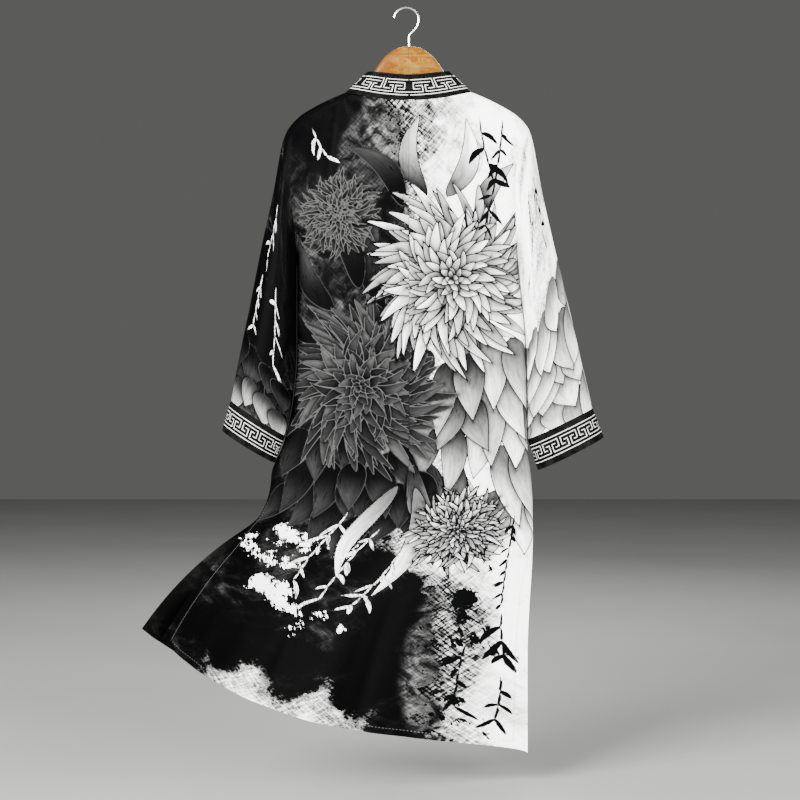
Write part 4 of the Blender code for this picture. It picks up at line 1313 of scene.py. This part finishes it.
def sleeve_flat(rings, side):
    """Round from the outer fold, the back half on the robe's own side, and down the sleeve."""
    count = rings.shape[1]
    steps = np.linalg.norm(np.roll(rings, -1, axis=1) - rings, axis=-1)
    round_back = np.concatenate([np.zeros((len(rings), 1)), np.cumsum(steps, axis=1)], axis=1)
    total = round_back[:, -1:]
    round_back = round_back[:, :-1]
    signed = np.where(np.arange(count) <= count // 2, round_back, round_back - total)
    down = run_of(rings[:, 0])
    return np.stack([side * signed, -down[:, None] + 0 * signed], axis=-1)


armhole_levels = fine_levels[: ARMHOLE_FINE + 1]
cuff_starts = {}
for side, name in SIDES:
    rear = back_points(np.array([1.0]) * side, armhole_levels)[0][:, 0]
    fore = front_points(side, np.array([1.0]), armhole_levels)[0][:, 0]
    armhole = np.concatenate([rear, fore[ARMHOLE_FINE - 1 : 0 : -1]])
    rings = sleeve_rings(side, armhole, SLEEVES[name])
    rings = sleeve_creases(rings, -side, SLEEVE_FOLDS[name])
    cuff_starts[name] = rings[-1]
    flat = sleeve_flat(rings, side)
    sleeve, laid = shell(f"sleeve_cloth_{name}", rings, -side, flat, satin, ring=True)
    sewing(sleeve, laid, seam=-laid[:, 1])
    print_on(sleeve, laid, SLEEVE_MOTIFS[name], np.full(len(laid), side * ALL_ONE_GROUND))
    sheets[f"sleeve_{name}"] = sleeve
    print(sleeve.name, len(sleeve.data.polygons), "faces")

# %% [markdown]
# ## Key-fret bands
#
# The collar and the cuffs are black bands with a white key fret and plain lines. Such a fret is
# an old repeat that can be charted by hand, as a knitter would. Each mark in a chart is one cell,
# and the band's mesh is cut into just those cells, so the white lines have clean square edges.
# Lines and gaps take turns in a chart, and a line is thinner than a gap. The collar's repeat is
# mirrored every other time, with a gap between.

# %% The charts
Fret = namedtuple("Fret", "rows mirrored first line gap tall_line tall_gap")
COLLAR_FRET = Fret(
    [
        "#################.",
        "................#.",
        "..#############.#.",
        "..#.............#.",
        "..#.#####.###...#.",
        "..#.....#.#.....#.",
        "..#####.#.#.#####.",
        "........#.#.......",
        "#########.########",
    ],
    mirrored=True,
    first=1,
    line=0.0019,
    gap=0.0046,
    tall_line=0.0016,
    tall_gap=0.0052,
)
CUFF_FRET = Fret(
    [
        "###########.",
        "#.........#.",
        "#.###.###.#.",
        "#...#.#...#.",
        "###.#.#.###.",
        "....#.#.....",
        "#####.######",
    ],
    mirrored=False,
    first=0,
    line=0.0015,
    gap=0.0048,
    tall_line=0.0014,
    tall_gap=0.0053,
)
BLACK, WHITE = 0, 1
Stripe = namedtuple("Stripe", "width kind rows")
COLLAR_STRIPES = [
    Stripe(0.0105, "black", 3),
    Stripe(0.0017, "white", 1),
    Stripe(0.0043, "black", 1),
    Stripe(0.0275, "fret up", 9),
    Stripe(0.0110, "black", 3),
]
CUFF_STRIPES = [
    Stripe(0.0112, "black", 3),
    Stripe(0.0014, "white", 1),
    Stripe(0.0047, "black", 1),
    Stripe(0.0205, "fret down", 7),
    Stripe(0.0047, "black", 1),
    Stripe(0.0014, "white", 1),
    Stripe(0.0107, "black", 3),
]


def fret_cell(fret, row, place):
    """The colour of one cell, where place counts outwards from the centre."""
    marks = fret.rows[row]
    repeat, at = divmod(place - fret.first, len(marks))
    if fret.mirrored and repeat % 2:
        at = (len(marks) - 2 - at) % len(marks)
    return WHITE if marks[at] == "#" else BLACK


def stripe_rows(stripes, fret):
    """The share of the band's width at each row of cells, and what each row holds.

    The last row is cut finer, so that the coarse inner face of the shell comes out even.
    """
    widths, kinds = [], []
    for stripe in stripes:
        order = range(stripe.rows)
        tall = [1] * stripe.rows
        if stripe.kind.startswith("fret"):
            tall = [fret.tall_gap if row % 2 else fret.tall_line for row in order]
        if stripe.kind == "fret up":
            order = reversed(order)
        widths += [stripe.width * part / sum(tall) for part in tall]
        kinds += [(stripe.kind, row) for row in order]
    shares = np.concatenate([[0], np.cumsum(widths)]) / sum(widths)
    extra = -len(shares) % COARSE + 1
    shares = np.concatenate([shares[:-1], np.linspace(shares[-2], 1, extra + 1)[1:]])
    return shares, kinds + [kinds[-1]] * (extra - 1)


def cell_ends(count, fret):
    """Where each cell of a run ends, as a share of the run. A gap at the start is half a gap."""
    sizes = np.where((np.arange(count) - fret.first) % 2, fret.gap, fret.line)
    if fret.first:
        sizes[0] /= 2
    return np.concatenate([[0], np.cumsum(sizes)]) / sizes.sum()


def cell_colour(fret, kind, row, place):
    if kind.startswith("fret"):
        return fret_cell(fret, row, place)
    return WHITE if kind == "white" and place >= fret.first else BLACK


for fret in (COLLAR_FRET, CUFF_FRET):
    print("repeat:", len(fret.rows[0]), "by", len(fret.rows), "cells")


# %% [markdown]
# ### The bands' satin
#
# The bands are black satin too, and the fret on them is white. Two finishes share one recipe: a
# mottled colour, a fine rib and a soft gloss, a little brighter on the white than on the black.


# %% Band finishes
BAND_CLOUD = Noise(60.0, 4.0, 0.6)
RIBS = Streaks((2400.0, 700.0, 1.0), 0, 1.0)


def band_satin(name, colour, deep, rough):
    made = Finish(name, Specular_IOR_Level=DULL)
    place = made.on_cloth()
    cloud = made.noise(place, BAND_CLOUD)
    rib = made.streaks(place, RIBS)
    ink = made.blend(cloud.step(0.3, 0.75), deep, colour)
    return made.wear(
        Base_Color=ink,
        Roughness=rough + (cloud - 0.5) * 0.12,
        Normal=made.bump(rib * 0.6 + cloud * 0.4, 0.0003, 0.4),
    )


SOOT, DEEP_SOOT = (0.005, 0.005, 0.005, 1), (0.001, 0.001, 0.001, 1)
CHALK, DEEP_CHALK = (0.52, 0.52, 0.50, 1), (0.34, 0.34, 0.32, 1)
band_finishes = (
    band_satin("black band satin", SOOT, DEEP_SOOT, 0.5),
    band_satin("white fret silk", CHALK, DEEP_CHALK, 0.45),
)
print("finishes:", ", ".join(finish.name for finish in band_finishes))


def mean_run(grid, axis):
    """How far along a band its rows or columns lie, on average."""
    steps = np.linalg.norm(np.diff(grid, axis=axis), axis=-1).mean(axis=1 - axis)
    return np.concatenate([[0], np.cumsum(steps)])


def band(name, grid, outward, kinds, fret, ring=False, flatten=()):
    """A shell whose outer faces are the chart's cells, along the collar or round a cuff."""
    rows, columns = grid.shape[:2]
    flat = np.stack(np.meshgrid(mean_run(grid, 1), mean_run(grid, 0)), axis=-1)
    piece, _ = shell(name, grid, outward, flat, band_finishes, ring, flatten)
    cells = columns if ring else columns - 1
    colours = np.zeros(len(piece.data.polygons), np.int32)
    for row in range(rows - 1):
        for at in range(cells):
            along, (kind, chart_row) = (at, kinds[row]) if ring else (row, kinds[at])
            colours[row * cells + at] = cell_colour(fret, kind, chart_row, along)
    piece.data.polygons.foreach_set("material_index", colours)
    return piece


# %% [markdown]
# ### The collar
#
# One band stands round the neck and runs down both front edges to the hem. It is two halves,
# joined at the centre back, each built outwards from there. Down the front it turns little by
# little to lie in the plane of the cloth.

# %% The collar
NECK_STATIONS = 60
EDGE_STEP = 0.05
STANDS_TO, LIES_FROM = 0.1, 0.3


def collar_line(side):
    """Along one half: points on the neck seam, and the way the band stands from each."""
    turn = np.linspace(0, math.pi / 2, NECK_STATIONS + 1)
    neck_seam = back_points(side * NECK_SHARE * np.sin(turn), np.array([0.0]))[0][0]
    upper = [MIDDLE + side * BAND_HALF * np.sin(turn), -BAND_BACK * np.cos(turn)]
    upper = np.stack(upper + [BAND_NAPE_Z + BAND_RISE * np.sin(turn)], axis=-1)
    front = front_points(side, np.array([0.0, EDGE_STEP]), fine_levels)[0]
    drop = NECK_SIDE_Z - front[:, 0, 2]
    way = [-side * read(FRONT_LEAN, "inward", drop), read(FRONT_LEAN, "forward", drop)]
    way = unit(np.stack(way + [read(FRONT_LEAN, "up", drop)], axis=-1))
    in_cloth = unit(front[:, 0] - front[:, 1])
    share = step((drop - STANDS_TO) / (LIES_FROM - STANDS_TO))[:, None]
    way = way * (1 - share) + in_cloth * share
    seam = np.concatenate([neck_seam, front[1:, 0]])
    return seam, unit(np.concatenate([unit(upper - neck_seam), way[1:]]))


def evened(values, lengths, targets):
    """The values along a line, read again at other lengths."""
    return np.stack([np.interp(targets, lengths, values[:, axis]) for axis in range(3)], axis=-1)


shares, kinds = stripe_rows(COLLAR_STRIPES, COLLAR_FRET)
for side, name in SIDES:
    seam, way = collar_line(side)
    lengths = run_of(seam)
    cells = 2 * lengths[-1] / (COLLAR_FRET.line + COLLAR_FRET.gap)
    stations = round(cells / COARSE) * COARSE
    targets = lengths[-1] * cell_ends(stations, COLLAR_FRET)
    seam, way = evened(seam, lengths, targets), unit(evened(way, lengths, targets))
    grid = seam[:, None] + way[:, None] * (shares * BAND)[None, :, None]
    flatten = [((slice(0, 1), slice(None)), 0)]
    piece = band(f"collar_band_{name}", grid, side, kinds, COLLAR_FRET, flatten=flatten)
    sheets[f"collar_{name}"] = piece
    print(piece.name, stations, "cells long,", round(lengths[-1], 3), "m")

# %% [markdown]
# ### The cuffs
#
# A cuff is a short ring on the end of its sleeve, cut on the slant. It is charted in the same
# way, with a plain line on both sides of the fret.

# %% The cuffs
CUFF_CELLS = 120


def evened_ring(ring, count):
    loop = np.concatenate([ring, ring[:1]])
    lengths = run_of(loop)
    return evened(loop, lengths, lengths[-1] * cell_ends(count, CUFF_FRET)[:-1])


shares, kinds = stripe_rows(CUFF_STRIPES, CUFF_FRET)
for side, name in SIDES:
    turn = np.linspace(0, 2 * math.pi, 2 * ARMHOLE_FINE, endpoint=False)
    start = evened_ring(cuff_starts[name], CUFF_CELLS)
    end = evened_ring(ring_line(*CUFFS[name], side, turn), CUFF_CELLS)
    grid = start[None] * (1 - shares[:, None, None]) + end[None] * shares[:, None, None]
    piece = band(f"cuff_band_{name}", grid, -side, kinds, CUFF_FRET, ring=True)
    sheets[f"cuff_{name}"] = piece
    print(piece.name, len(piece.data.polygons), "faces")

# %% [markdown]
# ## What the cloth stands for
#
# Each shell takes the place of its plain solid, which is hidden, and joins the root body. All of
# them hang from the hanger.

# %% Sheets
Cut = namedtuple("Cut", "width length area")
SLOTS = {"left": "dark_satin", "right": "light_satin"}
for place, piece in sheets.items():
    kind, side = place.split("_")
    nodes = [f"collar_upper_{side}", f"collar_lower_{side}"] if kind == "collar" else [place]
    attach(piece, "root")
    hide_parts(*nodes)
    "band_satin" if kind in ("cuff", "collar") else SLOTS[side]
print(len(sheets), "sheets")

# %% [markdown]
# ## The hanger
#
# The hanger is beech, shaped like a pair of shoulders, with a dome that rises out of the collar.
# A sphere laid on its side is a good start: its rings become the hanger's sections, and its
# poles the rounded tips. Each ring is moved and scaled to the section's size.

# %% Shaping the hanger
Timber = namedtuple("Timber", "half top bottom half_thick")
HANGER = [
    Timber(0.000, -0.0694, -0.1370, 0.0090),
    Timber(0.018, -0.0722, -0.1372, 0.0090),
    Timber(0.034, -0.0805, -0.1380, 0.0090),
    Timber(0.044, -0.0885, -0.1390, 0.0092),
    Timber(0.054, -0.1010, -0.1405, 0.0095),
    Timber(0.065, -0.1175, -0.1440, 0.0098),
    Timber(0.079, -0.1360, -0.1570, 0.0095),
    Timber(0.097, -0.1505, -0.1740, 0.0095),
    Timber(0.117, -0.1615, -0.1865, 0.0098),
    Timber(0.142, -0.1695, -0.2030, 0.0098),
    Timber(0.172, -0.1852, -0.2200, 0.0104),
    Timber(0.193, -0.1976, -0.2330, 0.0108),
    Timber(0.2085, -0.2180, -0.2190, 0.0010),
]
HANGER_REACH = 0.2085
bpy.ops.mesh.primitive_uv_sphere_add(
    segments=32, ring_count=160, radius=1.0, rotation=(0, math.pi / 2, 0)
)
hanger = bpy.context.object
hanger.name = "wooden_hanger"
bpy.ops.object.transform_apply(location=True, rotation=True, scale=True)
points = np.empty(len(hanger.data.vertices) * 3)
hanger.data.vertices.foreach_get("co", points)
points = points.reshape(-1, 3)
half = np.abs(points[:, 0]) * HANGER_REACH
around = np.arctan2(points[:, 2], points[:, 1])
top, bottom = read(HANGER, "top", half), read(HANGER, "bottom", half)
thick = read(HANGER, "half_thick", half)
radial = np.hypot(points[:, 1], points[:, 2]) > TINY
shaped = np.stack(
    [
        MIDDLE + points[:, 0] * HANGER_REACH,
        thick * np.cos(around) * radial,
        (top + bottom) / 2 + (top - bottom) / 2 * np.sin(around) * radial,
    ],
    axis=-1,
)
hanger.data.vertices.foreach_set("co", shaped.ravel())
hanger.data.update()
bpy.ops.object.mode_set(mode="EDIT")
bpy.ops.mesh.select_all(action="SELECT")
bpy.ops.mesh.normals_make_consistent(inside=False)
bpy.ops.object.mode_set(mode="OBJECT")
bpy.ops.object.shade_smooth()
bpy.ops.object.select_all(action="DESELECT")
print("hanger:", len(hanger.data.polygons), "faces")


# %% [markdown]
# The wood is honey coloured beech under clear varnish. Its grain runs along the hanger, so the
# noise that draws it is stretched that way. Redder flames and paler spots lie over the grain, the
# left shoulder is darker and redder than the right, and a fine dark line marks the joint of the
# two halves at the middle. The varnish is a clear coat on the same shader.


# %% Honey wood
GRAIN_DARK, GRAIN_LIGHT = (0.070, 0.026, 0.0015, 1), (0.150, 0.070, 0.008, 1)
FLAME, SPOT = (0.095, 0.026, 0.001, 1), (0.230, 0.130, 0.025, 1)
AMBER, JOINT = (0.080, 0.022, 0.001, 1), (0.022, 0.007, 0.001, 1)
JOINT_HALF = 0.00095
AMBER_FROM, AMBER_TO = -0.045, -0.005
RINGS_OF_GROWTH = Streaks((7.0, 60.0, 60.0), 0, 5.0, 0.6, 1.4)
FIBRES = Streaks((40.0, 900.0, 900.0), 0, 3.0, 0.6)
FLAMES = Streaks((22.0, 90.0, 40.0), 12, 3.0, 0.6, 2.5)
SPOTS = Noise(55.0)


def honey_wood():
    made = Finish("honey wood", Coat_Roughness=0.08, Coat_IOR=1.5, Specular_IOR_Level=0.15)
    place = made.on_object()
    broad, fibre = made.streaks(place, RINGS_OF_GROWTH), made.streaks(place, FIBRES)
    grain = broad * 0.7 + fibre * 0.3
    colour = made.blend(grain.step(0.32, 0.66), GRAIN_DARK, GRAIN_LIGHT)
    flame = made.streaks(place, FLAMES).step(0.50, 0.60)
    colour = made.blend(flame * 0.9, colour, FLAME)
    spots = made.noise(place, SPOTS).step(0.50, 0.75)
    colour = made.blend(spots * 0.5, colour, SPOT)
    away = made.node("ShaderNodeSeparateXYZ", {}, (place,)) - MIDDLE
    amber = 1 - away.step(AMBER_FROM, AMBER_TO)
    colour = made.blend(amber * (0.35 + broad * 0.6), colour, AMBER)
    joint = 1 - (away / JOINT_HALF * (away / JOINT_HALF)).step(0.11, 1.0)
    colour = made.blend(joint * 0.55, colour, JOINT)
    return made.wear(
        Base_Color=colour,
        Roughness=0.34 + (fibre - 0.5) * 0.14,
        Coat_Weight=0.22 + (broad - 0.5) * 0.2,
        Normal=made.bump(fibre * 0.5 + broad * 0.5 - joint, 0.0004, 0.35),
    )


hanger.data.materials.append(honey_wood())
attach(hanger, "root")
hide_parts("hanger")
print(hanger.name, "wears", hanger.data.materials[0].name)

# %% [markdown]
# ## The hook
#
# The hook is bright steel wire, four millimetres thick: a short stem, a lean to the right and a
# round bend. A curve with a round bevel is the plain way to make wire. The steel has faint marks
# along it, from the die that it was drawn through, and a dull haze in places.

# %% Bending the wire
LEAN_SHARES = np.linspace(0.1, 0.9, 9)
BEND_POINTS = 44
WIRE = 0.004
HOOK_RADIUS = 0.0229
HOOK_START, HOOK_END = math.radians(-22), math.radians(172)
STEM_TOP = -0.0515
STEM_FOOT = HANGER[0].top - 0.012


def hook_path():
    centre_z = WIRE / 2 - HOOK_RADIUS
    start_x = HOOK_RADIUS * math.cos(HOOK_START)
    start_z = centre_z + HOOK_RADIUS * math.sin(HOOK_START)
    rise = start_z - STEM_TOP
    path = [(MIDDLE, STEM_FOOT), (MIDDLE, HANGER[0].top), (MIDDLE, STEM_TOP)]
    for part in LEAN_SHARES:
        lean = float(step(part)) * (1 - part) + part * part
        bulge = math.tan(-HOOK_START) * rise * part * part * (1 - part)
        path.append((MIDDLE + (start_x - MIDDLE) * lean + bulge, STEM_TOP + rise * part))
    for turn in np.linspace(HOOK_START, HOOK_END, BEND_POINTS):
        path.append((HOOK_RADIUS * math.cos(turn), centre_z + HOOK_RADIUS * math.sin(turn)))
    return path


wire = bpy.data.curves.new("steel_hook", "CURVE")
wire.dimensions = "3D"
wire.bevel_depth = WIRE / 2
wire.bevel_resolution = 5
wire.use_fill_caps = True
line = wire.splines.new("POLY")
path = hook_path()
line.points.add(len(path) - 1)
for point, (x, z) in zip(line.points, path):
    point.co = (x, 0, z, 1)
hook = bpy.data.objects.new("steel_hook", wire)
bpy.context.scene.collection.objects.link(hook)

# %% Bright steel
BRIGHT, HAZY = (0.80, 0.80, 0.79, 1), (0.58, 0.57, 0.55, 1)
DRAW_MARKS = Streaks((900.0, 900.0, 120.0), 0, 3.0)
HAZE = Noise(90.0, 4.0)


def steel():
    made = Finish("bright steel", Metallic=1.0)
    place = made.on_object()
    drawn, haze = made.streaks(place, DRAW_MARKS), made.noise(place, HAZE)
    colour = made.blend(haze.step(0.4, 0.75), BRIGHT, HAZY)
    return made.wear(
        Base_Color=colour,
        Roughness=0.16 + haze * 0.14,
        Normal=made.bump(drawn, 0.00005, 0.3),
    )


wire.materials.append(steel())
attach(hook, "root")
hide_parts("hanger_hook")
print("hook:", len(path), "points along the wire")

# %% [markdown]
# ## Stage, light and camera
#
# A plain pale floor lies six centimetres under the hem, and the room is a soft even grey. One
# broad lamp hangs in front and above to the left, a weaker one fills the right side, and a third
# behind lifts the outline off the room. The camera stands three metres back, level with the
# middle of the robe, with a lens that takes in its whole length.

# %% Floor and room
FLOOR_Z = -1.428
bpy.ops.mesh.primitive_plane_add(size=14, location=(0, 1.5, FLOOR_Z))
floor = bpy.context.object
floor.name = "floor"
bpy.ops.object.transform_apply(location=True, rotation=True, scale=True)
pale = Finish("pale floor")
mottle = pale.noise(pale.on_object(), Noise(1.4, 4.0))
tint = pale.blend(mottle, (0.17, 0.17, 0.165, 1), (0.21, 0.21, 0.205, 1))
floor.data.materials.append(pale.wear(Base_Color=tint, Roughness=0.75 + mottle * 0.1))
floor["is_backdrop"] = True
bpy.ops.object.select_all(action="DESELECT")

room = bpy.data.worlds.new("room")
room.use_nodes = True
backdrop = room.node_tree.nodes["Background"].inputs
backdrop["Color"].default_value = (0.50, 0.50, 0.49, 1)
backdrop["Strength"].default_value = 0.22
bpy.context.scene.world = room
print("floor:", round(HEM_Z - FLOOR_Z, 3), "m under the hem")

# %% Lamps and camera
Lamp = namedtuple("Lamp", "name place target size watts")
LAMPS = [
    Lamp("key", (-2.7, -3.0, 1.2), (0.0, 0.0, -0.65), 2.4, 1250),
    Lamp("fill", (2.6, -3.0, 0.1), (0.0, 0.0, -0.7), 2.4, 700),
    Lamp("rim", (0.6, 2.6, 1.2), (0.0, 0.0, -0.6), 1.6, 80),
]
for lamp in LAMPS:
    light = bpy.data.lights.new(lamp.name, "AREA")
    light.shape, light.size, light.energy = "SQUARE", lamp.size, lamp.watts
    holder = bpy.data.objects.new(lamp.name, light)
    bpy.context.scene.collection.objects.link(holder)
    holder.location = lamp.place
    holder.rotation_mode = "QUATERNION"
    aim = Vector(lamp.target) - Vector(lamp.place)
    holder.rotation_quaternion = aim.to_track_quat("-Z", "Y")

lens = bpy.data.cameras.new("camera")
lens.sensor_width, lens.lens = 36, 72.97
lens.dof.use_dof = False
camera = bpy.data.objects.new("camera", lens)
bpy.context.scene.collection.objects.link(camera)
camera.location = (-0.01147, -3.0, -0.7243)
camera.rotation_euler = (math.pi / 2, 0, 0)
bpy.context.scene.camera = camera
print(len(LAMPS), "lamps and a lens of", round(lens.lens), "mm")

# %% [markdown]
# ## Done
#
# The boxes of the plain and of the dressed model are written side by side, to compare.

# %% Sizes and end
dressed_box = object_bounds()
boxes = {"plain": plain_box, "dressed": dressed_box}
boxes = {name: [list(corner) for corner in box] for name, box in boxes.items()}
print(boxes)
